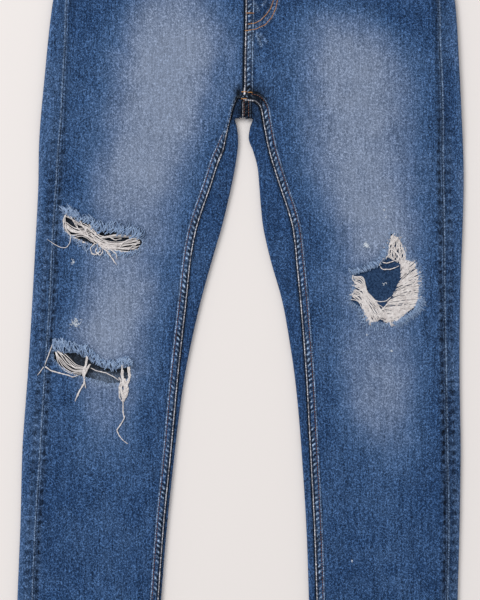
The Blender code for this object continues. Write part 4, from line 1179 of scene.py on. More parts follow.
THIGH_BUNDLES = (
    (2, [(-209, 403), (-204, 411), (-199, 419), (-192, 426)]), (2, [(-198, 409), (-193, 416), (-187, 423)]),
    (2, [(-187, 413), (-181, 420), (-176, 428)]), (3, [(-213, 399), (-215, 409), (-214, 419), (-207, 427)]),
    (2, [(-215, 402), (-217, 412), (-215, 422)]), (3, [(-184, 424), (-178, 434), (-170, 441), (-160, 446)]),
    (1, [(-207.6, 425.8), (-208.8, 436.6), (-212.8, 442.1), (-219.6, 442.1), (-228, 437.8), (-236.4, 431.8)]),
    (3, [(-178, 436), (-184, 442), (-183, 449), (-177, 451), (-172, 446), (-174, 440)]),
    (2, [(-176, 441), (-178, 447), (-173, 452), (-169, 447), (-171, 442)]),
    (3, [(-175, 438), (-164.8, 446.2), (-159.6, 453.4), (-152.4, 463)]),
    (2, [(-168, 441), (-160, 444), (-154, 449), (-152, 457)]),
    (2, [(-196, 413), (-190, 421), (-186, 430), (-178, 437)]),
    (2, [(-150, 443), (-145, 436), (-138, 432), (-128, 431)]),
    (2, [(-172, 430), (-163, 429), (-155, 433), (-146, 431)]), (1, [(-140, 446), (-134, 440), (-127, 437)]),
    (1, [(-166, 444), (-160, 449), (-163, 454)]))
thigh = Threads("cream_thigh_threads")
for k, (upper, lower, count, wander) in enumerate(THIGH_FLOWS):
    span_threads(thigh, upper, lower, count, wander, 20 + k)
for k, (count, line) in enumerate(THIGH_BUNDLES):
    bundle(thigh, line, count, 0.7 if count > 1 else 0.1, 30 + k, radius=0.5, lift=0.9)
thigh_threads = thigh.mesh()

# %% [markdown]
# ## The right knee
# The right knee rip is older: its threads have worn through and knotted. Some sag across the left
# end, the others hang down as twisted tails that lie on the cloth below.

# %% Right knee rip
right_knee = Threads("cream_right_knee_threads")
span_threads(right_knee, [(-225, 564), (-216, 568), (-207, 577), (-200, 583), (-192, 585)],
             [(-227, 567), (-223, 581), (-215, 590), (-205, 594.5), (-193, 592)], 8, 0.07, 41, radius=0.62,
             depth=0.2)
TAILS = (
    (2, 0.5, [(-239.4, 584.2), (-231.6, 589.7), (-216, 593.8), (-205.2, 597.4), (-193.2, 592.6)]),
    (2, 0.3, [(-229.2, 556.6), (-234, 570), (-239.4, 584.2)]),
    (1, 0.1, [(-239.4, 584.2), (-243, 589), (-248.4, 596.2)]),
    (6, 1.3, [(-187.5, 571), (-189.5, 580), (-191.5, 588)]),
    (8, 1.6, [(-190, 583), (-192.5, 593.8), (-191.5, 600)]),
    (6, 1.0, [(-184, 581), (-188, 587), (-192, 596)]),
    (3, 1.0, [(-191.5, 598), (-191.5, 604), (-193.2, 608.2), (-198, 614.2), (-200.8, 621.4),
              (-203.5, 628.6)]),
    (2, 0.4, [(-192, 600), (-190.5, 607), (-189.6, 613.5)]),
    (2, 0.3, [(-184.8, 586), (-177.6, 589.7), (-165, 592.6), (-156, 597.4), (-148.8, 602.2)]),
    (8, 1.5, [(-146, 581), (-146.4, 592.6), (-145.8, 603.4), (-147.6, 613), (-145.5, 622), (-145, 628)]),
    (8, 1.4, [(-138.6, 584), (-137.4, 597.4), (-140.4, 605.8), (-139.8, 614.2), (-142.4, 621.4),
              (-145.2, 628)]),
    (2, 0.8, [(-151, 597), (-147.6, 603), (-150, 613), (-149.4, 621.4), (-145.7, 627.4)]),
    (3, 1.0, [(-146, 604), (-142, 611), (-146, 617), (-143, 625)]),
    (7, 1.8, [(-143, 598), (-143, 612), (-144.5, 625)]),
    (2, 0.4, [(-145, 620), (-145.2, 640.1), (-143.4, 646.6), (-147.6, 653.8), (-153, 661), (-150, 667.7),
              (-145.2, 673), (-137.4, 679)]))
for k, (count, spread, line) in enumerate(TAILS):
    bundle(right_knee, line, count, spread, 50 + k, radius=0.58)
right_knee_threads = right_knee.mesh()

# %% [markdown]
# ## The left knee
# Here almost all the pale threads are left. They were pulled down and aside, so they sweep from the
# rim towards the lower tip and stop round an opening where the dark patch shows. The flows below
# are pairs of curves: the threads of each flow run from one curve to the other.

# %% Left knee rip
LEFT_KNEE_FLOWS = (
    # upper spike, from its tip down beside the opening
    ([(182.8, 422), (174, 431.5), (168, 439.5), (167, 446), (170, 451.5)],
     [(188, 427), (192, 438), (194.5, 448), (195, 457), (191, 464)]),
    # right side, from the rim down and left to the opening and the tip
    ([(192, 452), (203, 456.5), (209, 464), (212, 475), (212.5, 488), (212.4, 502), (202, 514), (190, 524),
      (181, 536)],
     [(189, 464), (188, 476), (184, 490), (178, 502), (170, 512), (165, 519), (163, 525), (168, 531),
      (174, 536)]),
    # left side, long threads beside the opening
    ([(130, 473.5), (143, 480), (149, 496), (158, 507), (168, 524)],
     [(124, 501), (138, 506), (143, 518), (148, 530), (152, 538)]))
left_knee = Threads("cream_left_knee_threads")


def flow_threads(bag, first, second, count, wander, depth, radius, seed, bow=0.0, spread=1.0):
    """Threads that each start on the first curve and end on the second."""
    rng = np.random.RandomState(seed)
    along = np.linspace(-0.03, 1.02, 10)
    for k in range(count):
        v = (k + rng.uniform(0, 1)) / count
        drift = rng.normal(0, 0.03 * spread)
        plan = between(first, second, along * rng.uniform(0.9, 1.04), np.clip(v + drift * along, 0, 1))
        way = plan[-1] - plan[0]
        side = np.array([-way[1], way[0]]) / max(np.linalg.norm(way), 1e-6)
        swing = wander * patchy(along * 30, np.full(10, 13.0 * k), 9.0, seed) + bow * np.sin(along * math.pi)
        plan = plan + side * swing[:, None]
        level = underside(plan[:, 1]) + TUBE
        z = level - depth + 0.4 * patchy(plan[:, 0], plan[:, 1], 5.0, seed)
        bag.add(np.c_[plan, z], rng.uniform(0.8, 1.2) * radius, taper=0.6)


(spike_a, spike_b), (right_a, right_b), (left_a, left_b) = LEFT_KNEE_FLOWS
flow_threads(left_knee, right_a, right_b, 86, 1.0, 0.9, 0.75, 61)
flow_threads(left_knee, right_a, right_b, 54, 1.6, 0.3, 0.55, 62, spread=2.0)
span_threads(left_knee, left_a, left_b, 24, 0.10, 63, radius=0.62, depth=0.8)
span_threads(left_knee, left_a, left_b, 14, 0.25, 64, radius=0.5, depth=0.25)
span_threads(left_knee, spike_a, spike_b, 22, 0.14, 65, radius=0.65, depth=0.8)
span_threads(left_knee, spike_a, spike_b, 12, 0.3, 66, radius=0.45, depth=0.2)
LEFT_KNEE_BUNDLES = (
    (3, 0.9, [(184, 428), (186, 438), (187.5, 449), (189, 460), (188, 470)]),
    (2, 0.5, [(191, 441), (193, 450), (194, 459), (190, 468)]),
    (2, 0.5, [(165, 459), (170, 461), (178, 459), (185, 456)]),
    (2, 0.5, [(163, 464), (166, 468), (174, 468.5), (182, 466), (188, 463)]),
    (2, 0.4, [(162.5, 465), (163, 460), (168, 455), (175, 451)]),
    (2, 0.4, [(184, 444), (178, 447), (172, 453), (170, 458)]),
    (2, 0.4, [(155, 505), (162, 507), (170, 506.5), (177, 501)]),
    (3, 0.7, [(131, 474), (130, 480), (136, 486), (143, 489)]),
    (3, 0.8, [(143, 487), (147, 498), (155, 507), (163, 516), (170, 526)]),
    (3, 0.8, [(178, 503), (170, 512), (161, 522), (152, 532)]),
    (3, 0.8, [(204, 492), (194, 506), (184, 520), (177, 532)]),
    (3, 0.8, [(210, 478), (198, 494), (186, 508), (174, 522)]),
    (2, 0.5, [(158, 512), (166, 521), (175, 531)]), (2, 0.4, [(161, 520), (169, 527), (178, 534.5)]),
    (7, 1.9, [(168, 518), (174, 528), (180, 537.5)]), (7, 1.9, [(152, 517), (150, 527), (151, 536)]),
    (5, 1.5, [(184, 516), (183, 526), (183, 534)]), (4, 1.2, [(144, 515), (147, 526), (148, 533)]),
    (3, 0.8, [(134, 492), (130, 500), (137, 506), (146, 512)]),
    (3, 0.9, [(150, 520), (152, 528), (158, 533)]))
for k, (count, spread, line) in enumerate(LEFT_KNEE_BUNDLES):
    bundle(left_knee, line, count, spread, 80 + k, radius=0.5, lift=-0.1)
left_knee_threads = left_knee.mesh()

# %% [markdown]
# ## Blue fringe
# Round each rip the cut blue threads stick out as a soft fringe, lighter than the cloth because their
# dyed outside has worn off. They are short tufts over the upper edges and curls under the lower ones.

# %% Fringe
THIGH_TOP = [(-216, 400), (-204.4, 403.5), (-198, 409), (-186, 412.6), (-177.6, 421), (-160.8, 422.2),
             (-144, 425.8), (-124, 430)]
THIGH_FRAY = [
    (-217.2, 391.6), (-202.8, 394.6), (-198, 400.6), (-186, 401.8), (-173.3, 408.5), (-160.8, 407.8),
    (-144, 410.2), (-128.4, 413.8), (-119, 421)]
THIGH_LOW = [(-210, 427), (-199, 433), (-186, 437.8), (-160, 445.6), (-141.6, 448), (-125, 444.5)]
THIGH_CURLS = [(-210, 431), (-199, 440), (-190.8, 446), (-177.6, 454.4), (-152.4, 455.4), (-128, 453)]
KNEE_TOP = [(-227, 566), (-211.2, 569), (-200.4, 569), (-190.8, 574), (-181.2, 580), (-168.6, 587.5),
            (-153, 589), (-145, 584), (-136, 586)]
KNEE_FRAY = [(-231, 553), (-222, 553), (-211.2, 555.4), (-200.4, 558.4), (-184.8, 562.6), (-178.8, 569.8),
             (-169.2, 577), (-160.8, 578.5), (-151.2, 577), (-139.2, 573.5), (-132.5, 581)]


def tufts(bag, outer, inner, count, radius, seed, reach=1.1, curl=1.0, arch=1.0):
    """Short arched strands between an inner line and an outer line, on the cloth."""
    rng = np.random.RandomState(seed)
    for k in range(count):
        u = (k + rng.uniform(0, 1)) / count
        v = np.linspace(rng.uniform(-0.25, 0.1), rng.uniform(0.55, reach), 6)
        plan = between(inner, outer, v, np.clip(u + rng.normal(0, 0.015) * v, 0, 1))
        turn = rng.uniform(0, 6.3)
        waves = np.stack([np.sin(v * 5 + turn), 0.4 * np.cos(v * 4 + turn)], axis=1)
        plan = plan + curl * waves * rng.uniform(0.5, 1.3)
        lift = arch * rng.uniform(0.3, 1.1) * np.sin(np.linspace(0.1, 1, 6) * math.pi)
        bag.add(on_cloth(plan, radius, lift), rng.uniform(0.75, 1.25) * radius, taper=0.45, step=2.0)


def rim_tufts(bag, ring, start, stop, count, length, radius, seed, slant=0.0):
    """Short strands out from part of a rip's rim; start and stop are shares of its outline."""
    rng = np.random.RandomState(seed)
    steps = closed_steps(ring, 1.0)
    out = outward(steps)
    for k in range(count):
        i = int(len(steps) * mix(start, stop, (k + rng.uniform(0, 1)) / count)) % len(steps)
        way = out[i] + rng.normal(0, 0.35, 2) + np.array([0, slant])
        way /= np.linalg.norm(way)
        long = length * rng.uniform(0.5, 1.25)
        u = np.linspace(-0.25, 1.0, 6)
        side = np.array([-way[1], way[0]]) * rng.uniform(-0.6, 0.6) * long
        plan = steps[i] + way * (u * long)[:, None] + side * (u ** 2)[:, None]
        lift = rng.uniform(0.2, 0.8) * np.sin(np.linspace(0.1, 1, 6) * math.pi)
        bag.add(on_cloth(plan, radius, lift), rng.uniform(0.8, 1.2) * radius, taper=0.4, step=1.6)


# share of the left knee's outline: start, stop, count, length
LEFT_KNEE_FRINGE = (
    (0.0, 0.18, 34, 4.0), (0.18, 0.30, 34, 6.0), (0.30, 0.48, 50, 4.5), (0.48, 0.60, 44, 9.0),
    (0.60, 0.68, 22, 5.0), (0.68, 0.78, 26, 5.5), (0.78, 0.84, 14, 3.5), (0.84, 0.95, 48, 8.0),
    (0.95, 1.0, 10, 4.0))
LEFT_KNEE_TOP = [(127, 472), (135, 472.5), (145, 470), (156, 465.5), (164, 461), (168, 455), (171, 449)]
LEFT_KNEE_FRAY = [(124, 466), (134, 466), (143, 463.5), (153, 458.5), (161, 453.5), (164, 448), (167, 443)]
LEFT_KNEE_LOW = [(213, 500), (209, 510), (203, 518), (194, 524), (186, 530), (180, 534)]
LEFT_KNEE_COMB = [(219, 505), (217, 516), (210, 525), (201, 531), (192, 536), (184, 540)]
fringes = []
bag = Threads("blue_fringe_thigh")
tufts(bag, THIGH_FRAY, THIGH_TOP, 110, 0.7, 71, reach=1.0, curl=2.8, arch=1.9)
tufts(bag, THIGH_CURLS, THIGH_LOW, 60, 0.6, 72, reach=1.2, curl=2.2)
tufts(bag, [(-222, 393), (-205, 390)], [(-216, 402), (-204, 404)], 26, 0.65, 79, reach=1.1, curl=2.2,
      arch=2.0)
fringes.append(bag.mesh())
bag = Threads("blue_fringe_right_knee")
tufts(bag, KNEE_TOP, KNEE_FRAY, 125, 0.82, 73, reach=1.15, curl=2.0, arch=1.8)
rim_tufts(bag, RIGHT_KNEE_RIP, 0.52, 0.98, 40, 2.5, 0.38, 74)
fringes.append(bag.mesh())
bag = Threads("blue_fringe_left_knee")
tufts(bag, LEFT_KNEE_FRAY, LEFT_KNEE_TOP, 64, 0.6, 75, reach=1.1, curl=1.2, arch=1.3)
tufts(bag, LEFT_KNEE_COMB, LEFT_KNEE_LOW, 56, 0.6, 76, reach=1.1, curl=1.2, arch=1.3)
for k, (start, stop, count, length) in enumerate(LEFT_KNEE_FRINGE):
    rim_tufts(bag, LEFT_KNEE_RIP, start, stop, count, length, 0.42, 90 + k)
fringes.append(bag.mesh())

# %% Small nicks
# middle across, station, spread across, spread down, strands, length
NICKS = (
    (-205.2, 459.4, 1.6, 3.4, 16, 2.6), (-201.6, 532.6, 7.0, 5.5, 50, 2.6), (-201.6, 534, 1.5, 1.5, 14, 2.0),
    (146.4, 439, 3.2, 3.2, 40, 2.2), (148, 441, 1.4, 1.4, 14, 2.0),
    (168, 397, 0.7, 1.4, 4, 2.4), (170.4, 405.4, 0.7, 1.2, 4, 2.0), (147.6, 547, 1.0, 1.0, 6, 1.6),
    (129.5, 819, 0.6, 2.4, 5, 1.8), (176.4, 566, 1.6, 1.2, 14, 1.8), (169, 485.5, 8.0, 1.4, 5, 3.0))
nick_bag = Threads("pale_nicks")
rng = np.random.RandomState(7)
for x, s, wide, tall, count, length in NICKS:
    for k in range(count):
        start = np.array([x, s]) + rng.normal(0, 0.5, 2) * (wide, tall)
        angle = rng.uniform(0, 2 * math.pi)
        way = np.array([math.cos(angle), math.sin(angle)]) * length * rng.uniform(0.6, 1.2)
        nick_bag.add(on_cloth(start + way * np.linspace(-0.5, 0.5, 4)[:, None], 0.34, 0.1), 0.34, step=1.2)
nicks = nick_bag.mesh()

# %% [markdown]
# ## Where the stitches run
# A sewing order for jeans: pockets and fly first, then the rise and the inseam, then the waistband,
# loops and hems. The felled seams have two rows. The J by the fly holds the facing behind it, and
# short tight tacks stop the fly from tearing at its ends.

# %% Stitch lines
BAND_ROW = 2.4
HEM_ROW = LENGTH - HEM_HEIGHT + 2.5
TACK_PITCH = 0.9


def beside(line, sign, distance):
    """A plan line moved sideways, by one distance or by one for each point."""
    line = np.asarray(line, dtype=float)
    way = np.gradient(line, axis=0)
    way /= np.maximum(np.linalg.norm(way, axis=1, keepdims=True), 1e-6)
    return line + np.stack([way[:, 1], -way[:, 0]], axis=1) * sign * np.reshape(distance, (-1, 1))


def down_line(x_of, start, stop):
    s = np.arange(start, stop, 4.0)
    return np.stack([np.array([float(x_of(v)) for v in s]), s], axis=1)


navy = []
rust = []
for leg in (RIGHT, LEFT):
    line = INSEAM[leg.name][4:]
    shown = tucked(leg, 1.0, line[:, 1])
    navy.append(beside(line, leg.sign, (ROW_NEAR + 0.1) / shown)[shown < 1.8])
    rust.append(beside(line, leg.sign, ROW_FAR / shown)[shown < 1.8])
    for offset in (2.0, 8.2):
        rust.append(np.array([scoop(leg, t, offset) for t in np.linspace(0.02, 0.97, 40)]))
    rust.append(np.array([(float(leg.outer_edge(HEM_ROW)), HEM_ROW),
                          (float(leg.inner_edge(HEM_ROW)), HEM_ROW)]))
navy.append(down_line(lambda s: fly_x(s) + ROW_NEAR + 0.6, 58, 252))
navy.append(down_line(lambda s: fly_x(s) + ROW_FAR, 58, 252))
J_INNER = np.array([
    (35.6, 56), (35.6, 110), (35.4, 145), (32.3, 155), (27, 162.6), (20, 169.5), (13.2, 173), (3.6, 174.5)])
J_OUTER = np.array([
    (41, 56), (41, 110), (40.3, 145), (38, 156), (33, 166.5), (25.5, 175), (14.5, 180), (1.9, 182.6)])
J_MIDDLE = (J_INNER + J_OUTER) / 2
orange = [J_INNER, J_OUTER]
rust += [np.array([(0.1, 265), (0.1, 284)]), np.array([(5.6, 266), (5.6, 284)])]
for down in (BAND_ROW, BAND_HEIGHT - BAND_ROW):
    navy.append(np.array([(x, band_dip(x, True) + down) for x in np.linspace(-180, 204, 80)]))
for x in (WAIST_CENTRE - LOOP_OFFSET, WAIST_CENTRE + LOOP_OFFSET):
    for side in (-4.0, 4.0):
        rust.append([(x + side, band_dip(x, True) + 2), (x + side, band_dip(x, True) + LOOP_LENGTH - 1.5)])
below = []
for leg in (RIGHT, LEFT):
    side = leg.sign * (abs(float(leg.outer_edge(YOKE_AT_SIDE))) - 5)
    for offset in (2.0, 8.0):
        across = np.linspace(leg.centre, side, 60)
        below.append(np.array([(x, yoke_station(leg, x) + offset) for x in across]))
        beside_seat = leg.centre + leg.sign * offset * 0.9
        below.append([(beside_seat, 108), (beside_seat, 282)])
    below.append(pocket_outline(leg, 2.2))
    below.append(pocket_outline(leg, 8.2))
    below.append([pocket_outline(leg, 2.2)[0], pocket_outline(leg, 2.2)[-1]])
    below.append([(float(leg.outer_edge(HEM_ROW)) - leg.sign * 2, HEM_ROW),
                  (float(leg.inner_edge(HEM_ROW)) + leg.sign * 2, HEM_ROW)])
for down in (BAND_ROW, BAND_HEIGHT - BAND_ROW):
    below.append(np.array([(x, band_dip(x, False) + down) for x in np.linspace(-180, 204, 80)]))
stitches = {
    "navy": stitch_rows("stitches_navy", navy),
    "rust": stitch_rows("stitches_rust", rust),
    "orange": stitch_rows("stitches_orange", orange, 3.0, 3.3, 0.5),
    "tacks": stitch_rows("stitches_tacks", [
        [(3.2, 161), (11.6, 161)], [(-2.6, 255.4), (2.6, 255.4)], [(5, 256), (9.4, 256)],
        [(-2.8, 263.6), (2.8, 263.6)],
        [(1, 182), (3.6, 182)]], TACK_PITCH, 2.6, 0.5),
    "below": stitch_rows("stitches_below", below, way=-1.0, sink=0.2)}
BUTTONHOLE = ((-9, -1.6), (10, -1.6), (12.5, 0), (10, 1.6), (-9, 1.6), (-9, -1.6))
buttonhole = [(BUTTON_X + dx, BUTTON_S + ds) for dx, ds in BUTTONHOLE]
stitches["buttonhole"] = stitch_rows("stitches_buttonhole", [buttonhole], TACK_PITCH, 1.3, 0.4)

# %% [markdown]
# ## Where the dye has gone, and painted shade
# Indigo sits on the outside of the yarn, so wear shows as paler cloth: a long soft band down the
# middle of each thigh, a line on every raised edge, and the tops of the puckers. The hollows keep
# their dye. Shade is painted in too: the dark share holds painted shade at the crotch crossing,
# beside the fly lap and the felled bands, under the blue fringe and inside the leg where it shows
# through the rips, and the worn share holds painted highlights on the wrinkles by the fly. Each
# vertex gets six numbers. Four are shares: fade, worn, dark and wrong side. The other two are its
# distance from the felled edge and its length along it, from which the shader works out the rows
# and puckers. They come from the same distances that shaped the seams, so colour and form agree.
# Small soft strokes add the whiskers, the painted highlights and part of the painted shade.

# %% Fade bands
# station, middle of the band, half of its width, strength
RIGHT_FADE = np.array([
    (73, -71, 34, 0.15), (145, -86, 46, 0.74), (193, -87, 58, 1.0), (265, -98, 56, 1.04),
    (313, -113, 52, 1.0), (361, -127, 50, 0.94), (409, -138, 50, 0.8), (457, -143, 44, 0.72),
    (505, -150, 42, 0.95), (553, -163, 42, 0.92), (601, -163, 40, 0.68), (625, -163, 36, 0.6),
    (649, -163, 32, 0.48), (697, -165, 32, 0.2), (745, -168, 32, 0.06), (1065, -185, 36, 0.0)])
LEFT_FADE = np.array([
    (73, 115, 36, 0.04), (145, 109, 36, 0.15), (169, 115, 42, 0.52), (193, 124, 50, 0.76),
    (241, 134, 60, 0.92), (337, 139, 58, 0.9), (385, 147, 51, 0.9), (433, 161, 44, 0.94),
    (481, 154, 46, 0.64), (529, 159, 46, 0.53), (577, 160, 44, 0.72), (625, 165, 40, 0.74),
    (649, 163, 38, 0.6), (673, 170, 37, 0.37), (709, 181, 36, 0.12), (745, 181, 36, 0.03),
    (1065, 165, 36, 0.0)])
FADES = {"right": RIGHT_FADE, "left": LEFT_FADE}


def fade_band(leg, x, s):
    table = FADES[leg.name]
    middle = curve(table[:, 0], table[:, 1], s)
    half = curve(table[:, 0], table[:, 2], s)
    strength = curve(table[:, 0], table[:, 3], s)
    return strength * np.exp(-math.log(2) * (np.abs(x - middle) / half) ** 2.6)


def mottled(x, s):
    return 0.07 * patchy(x, s, 48.0, 8) + 0.05 * patchy(x, s, 17.0, 9) + 0.03 * patchy(x, s * 0.5, 7.0, 10)


NO_SEAM = 30.0
WRONG_SIDE = 0.9


def store(made, fade, worn=0.0, dark=0.0, wrong=0.0, seam=NO_SEAM, along=0.0):
    """Keeps the shares from 0 to 1, and the distance from a felled edge with the length along it."""
    count = len(made.data.vertices)
    shares = {"fade": fade, "worn": worn, "dark": dark, "wrong": wrong}
    values = {name: np.clip(share, 0, 1.12) for name, share in shares.items()}
    for name, value in dict(values, seam=seam, along=along).items():
        layer = made.data.attributes.new(name, "FLOAT", "POINT")
        layer.data.foreach_set("value", np.broadcast_to(value, count).astype(np.float32))


def vertex_places(made):
    flat = np.zeros(len(made.data.vertices) * 3)
    made.data.vertices.foreach_get("co", flat)
    where = unplace(flat.reshape(-1, 3))
    return where[:, 0], where[:, 1], where[:, 2]


# lines above and below the frayed yarn, and the strength of the painted shade under the fringe
FRINGE_SHADE = ((THIGH_FRAY, THIGH_TOP, 0.35), (KNEE_FRAY, KNEE_TOP, 0.45), (LEFT_KNEE_FRAY, LEFT_KNEE_TOP, 0.25))


def bell(distance, width):
    return np.exp(-(distance / width) ** 2)


def marked(x, s, marks):
    """The sum of soft strokes, each from one point to another with a width and a strength."""
    total = np.zeros(x.shape)
    for x0, s0, x1, s1, width, strength in marks:
        gap, _ = line_distance(x, s, np.array([(x0, s0), (x1, s1)], dtype=float))
        total = total + strength * bell(gap, width)
    return total


# soft changes of the fade, each from one point to another: width and strength
FADE_MARKS = (
    (-28.8, 223, -46.8, 283, 9, -0.14), (-208.8, 601, -196.8, 661, 14, -0.13),
    (-118.8, 607, -118.8, 673, 12, -0.15), (-202.8, 367, -190.8, 409, 13, -0.13),
    (-130.8, 439, -94.8, 469, 10, -0.12), (121.2, 419, 160.8, 415, 9, -0.13),
    (205, 433, 205, 445, 8, -0.1), (121.2, 205, 121.2, 289, 8, -0.05), (125, 692, 142, 694, 10, -0.1),
    (91.2, 541, 91.2, 661, 6, 0.1), (-46.8, 391, -76.8, 493, 9, 0.09), (-152, 197, -140, 204, 8, -0.09),
    (-190, 240, -178, 247, 9, -0.09), (-162, 210, -148, 216, 9, 0.08), (-172, 285, -160, 284, 12, 0.08),
    (-144, 362, -130, 372, 12, -0.06), (-142, 820, -106, 826, 18, -0.05), (6, 192, 14, 216, 7, 0.14))
# pale strokes: worn spots and lines, and painted highlights on the wrinkles beside the fly
WORN_AND_HIGHLIGHT_MARKS = (
    (7, 188, 6, 214, 3.0, 0.3), (15, 186, 21, 200, 1.4, 0.6), (19, 186, 27, 196, 1.2, 0.35),
    (13, 150, 17, 158, 1.5, 0.45), (22, 152, 26, 147, 1.3, 0.4), (94, 569.8, 176, 565, 1.0, 0.14),
    (4, 110, 9, 128, 1.6, 0.3))
# painted shade in the wrinkles beside the fly and round the crotch crossing
PAINTED_SHADE_MARKS = ((19, 190, 25, 186, 3.6, 0.45), (14, 204, 20, 196, 3.0, 0.2), (10, 190, 13, 215, 3.0, 0.15),
              (12, 256, 24, 268, 5.0, 0.3))


def outseam_wear(leg, out, s, front):
    """Worn and dark shares beside the outseam: a thin channel, with uneven dark marks beside it."""
    low = soft_step(180, 420, s)
    wave = np.clip(pucker_wave(s, ROPE, 5) * 1.5 - 0.45 + 0.45 * patchy(out, s, 6.0, 15), 0, 1)
    middle, half = (4.6, 2.6) if front else (8.2, 3.6)
    worn = (0.2 if front else 0.5) * bell(out - 1.2, 0.7) + 0.08 * low * (1 - wave) * bell(out - middle, half)
    dark = 0.4 * bell(out, 0.6) + (0.25 if front else 0.12) * bell(out - 3.2, 1.6)
    dark = dark + (0.26 if leg is LEFT else 0.14) * bell(out - 2, 5.5)
    return worn, dark + (0.25 + 0.45 * low) * wave * bell(out - middle, half)


def rip_halo(x, s):
    """How near a point is to a rip's rim, from 0 to 1."""
    near = np.zeros(x.shape)
    for ring in RIPS.values():
        gap, _ = line_distance(x, s, np.concatenate([ring, ring[:1]]), 16.0)
        near = np.maximum(near, np.exp(-gap / 4.0) * (gap < 15.9))
    return near


def wear_front(leg, made):
    x, s, z = vertex_places(made)
    outside = z > face_height(leg, x, s) - 0.55 * CLOTH
    fade = fade_band(leg, x, s) + 0.07 + marked(x, s, FADE_MARKS)
    seam, along = line_distance(x, s, INSEAM[leg.name])
    seam = tucked(leg, seam, s)
    out = np.abs(leg.outseam(s) - x)
    seam_worn, seam_dark = outseam_wear(leg, out, s, True)
    # the pale strokes add worn spots and painted highlights to the worn share
    worn = seam_worn + marked(x, s, WORN_AND_HIGHLIGHT_MARKS)
    # the dark strokes add painted shade to the dark share
    dark = seam_dark + marked(x, s, PAINTED_SHADE_MARKS)
    fly = x - fly_x(s)
    if leg is LEFT:
        fly_nearer = (np.abs(fly) < seam) & (s < 259) & (s > 56)
        seam = np.where(fly_nearer, np.abs(fly), seam)
        along = np.where(fly_nearer, s, along)
        row, turn = line_distance(x, s, J_MIDDLE)
        wave = pucker_wave(turn, 5.0, 8)
        worn = worn + (0.45 * wave * bell(row, 1.5) + 0.25 * bell(row - 4.6, 0.8)) * (s > 54)
        dark = dark + (0.5 * (1 - wave) * bell(row, 2.0) + 0.35 * bell(row - 6.2, 1.2)) * (s > 54)
        dark = dark + 0.28 * (fly_facing(x, s) < -5) * (fly > 9) * (0.75 + 0.5 * patchy(x, s, 5.0, 14))
        # painted shade round the crotch crossing on the left front
        dark = dark + 0.9 * np.exp(-((x - 14) / 14) ** 2 - ((s - 262) / 15) ** 2)
    else:
        # painted shadow cast by the left front's fly lap along the edge of the right front
        dark = dark + 1.1 * bell(np.minimum(fly + 1.3, 0), 1.8) * (s < 262)
        # painted shade in the hollow at the crotch crossing
        dark = dark + 1.2 * np.exp(-((x + 7) / 4.5) ** 2 - ((s - 257) / 9) ** 2)
    hem = LENGTH - HEM_HEIGHT
    worn = worn + 0.5 * bell(s - LENGTH, 1.5) + 0.3 * pucker_wave(x, 7.0, 6) * bell(s - hem - 8, 5)
    halo = rip_halo(x, s)
    # painted shade under the blue fringe: darker and less faded along the middle of each frayed band
    for upper, lower, strength in FRINGE_SHADE:
        row, _ = line_distance(x, s, between(upper, lower, 0.5, np.linspace(0, 1, 40)))
        dark = dark + strength * bell(row, 5.5)
        fade = fade - 0.2 * bell(row, 7.0)
    rim = np.array([scoop(leg, t) for t in np.linspace(0, 1, 40)])
    gap, turn = line_distance(x, s, rim, 14.0)
    rim_worn = 0.5 * bell(gap, 0.9) + 0.25 * pucker_wave(turn, 6.0, 6) * bell(gap - 5, 2.5)
    worn = worn + rim_worn * (gap < 13.9)
    fade = fade + mottled(x, s) + 0.22 * halo
    worn = worn + 0.5 * halo ** 2
    store(made, fade, np.where(outside, worn, 0), np.where(outside, dark, 0),
          np.where(outside, 0.0, WRONG_SIDE), np.where(outside, seam, NO_SEAM), along)


def wear_back(leg, made):
    x, s, z = vertex_places(made)
    count = len(x) // 2
    inner = np.arange(len(x)) >= count
    on_face = z > underside(s) + TUBE - 1.6
    out = np.abs(leg.outseam(s) - x)
    near, _ = line_distance(x, s, INSEAM[leg.name], 20.0)
    outer_strip = on_face & (out < 40) & (np.abs(x) > 120)
    seam_worn, seam_dark = outseam_wear(leg, out, s, False)
    strip = 0.13 + 0.12 * patchy(x, s * 0.6, 16.0, 12) + 0.16 * bell(leg.outer_edge(s) - x, 6.0)
    round_pocket = np.exp(-((x - leg.centre - leg.sign * 115) / 75) ** 2)
    seat = 0.6 * round_pocket * soft_step(110, 170, s) * (1 - soft_step(330, 520, s))
    knee = 0.3 * np.exp(-((x - leg.sign * 165) / 45) ** 2) * np.exp(-((s - 600) / 110) ** 2)
    fade = np.where(on_face, np.where(outer_strip, strip, 0.05), 0.08 + seat + knee) + mottled(x, s) * 0.8
    worn = np.where(outer_strip, seam_worn, 0.0)
    dark = np.where(outer_strip, seam_dark, 0.0)
    # painted shadow line on the back's face just outside the felled inseam band
    dark = dark + np.where(on_face & (s > 255), 1.1 * bell(np.maximum(near - 0.4, 0), 1.6), 0.0)
    # painted shade on the tab of the back panels at the crotch
    dark = dark + 1.0 * on_face * np.exp(-((x - 2) / 20) ** 2 - ((s - 278) / 18) ** 2)
    if leg is RIGHT:
        # painted shadow beside the seat seam's felled band
        dark = dark + 0.9 * bell(x - SEAT_SEAM, 1.3) * (s < CROTCH + 1)
    else:
        dark = dark + 0.07 * outer_strip * soft_step(520, 640, s)
    # painted shade on the inside of the back panel, where it shows through the rips; lit lifts part of it
    # where light falls into the right knee rip
    through = 0.98 * soft_step(375, 392, s) * (1 - soft_step(620, 650, s))
    lit = soft_step(-190, -180, x) * (x < 0) * soft_step(-2, 8, s - 590 - 0.05 * (x + 160))
    through = through * (1 - 0.7 * lit)
    seam = np.where(inner, NO_SEAM, seat_fell(leg, x, s))
    wrong = np.where(inner, WRONG_SIDE, 0.0)
    # the dark share of the inner surface is that painted shade inside the leg
    store(made, fade, np.where(inner, 0, worn), np.where(inner, through, dark), wrong, seam, s)


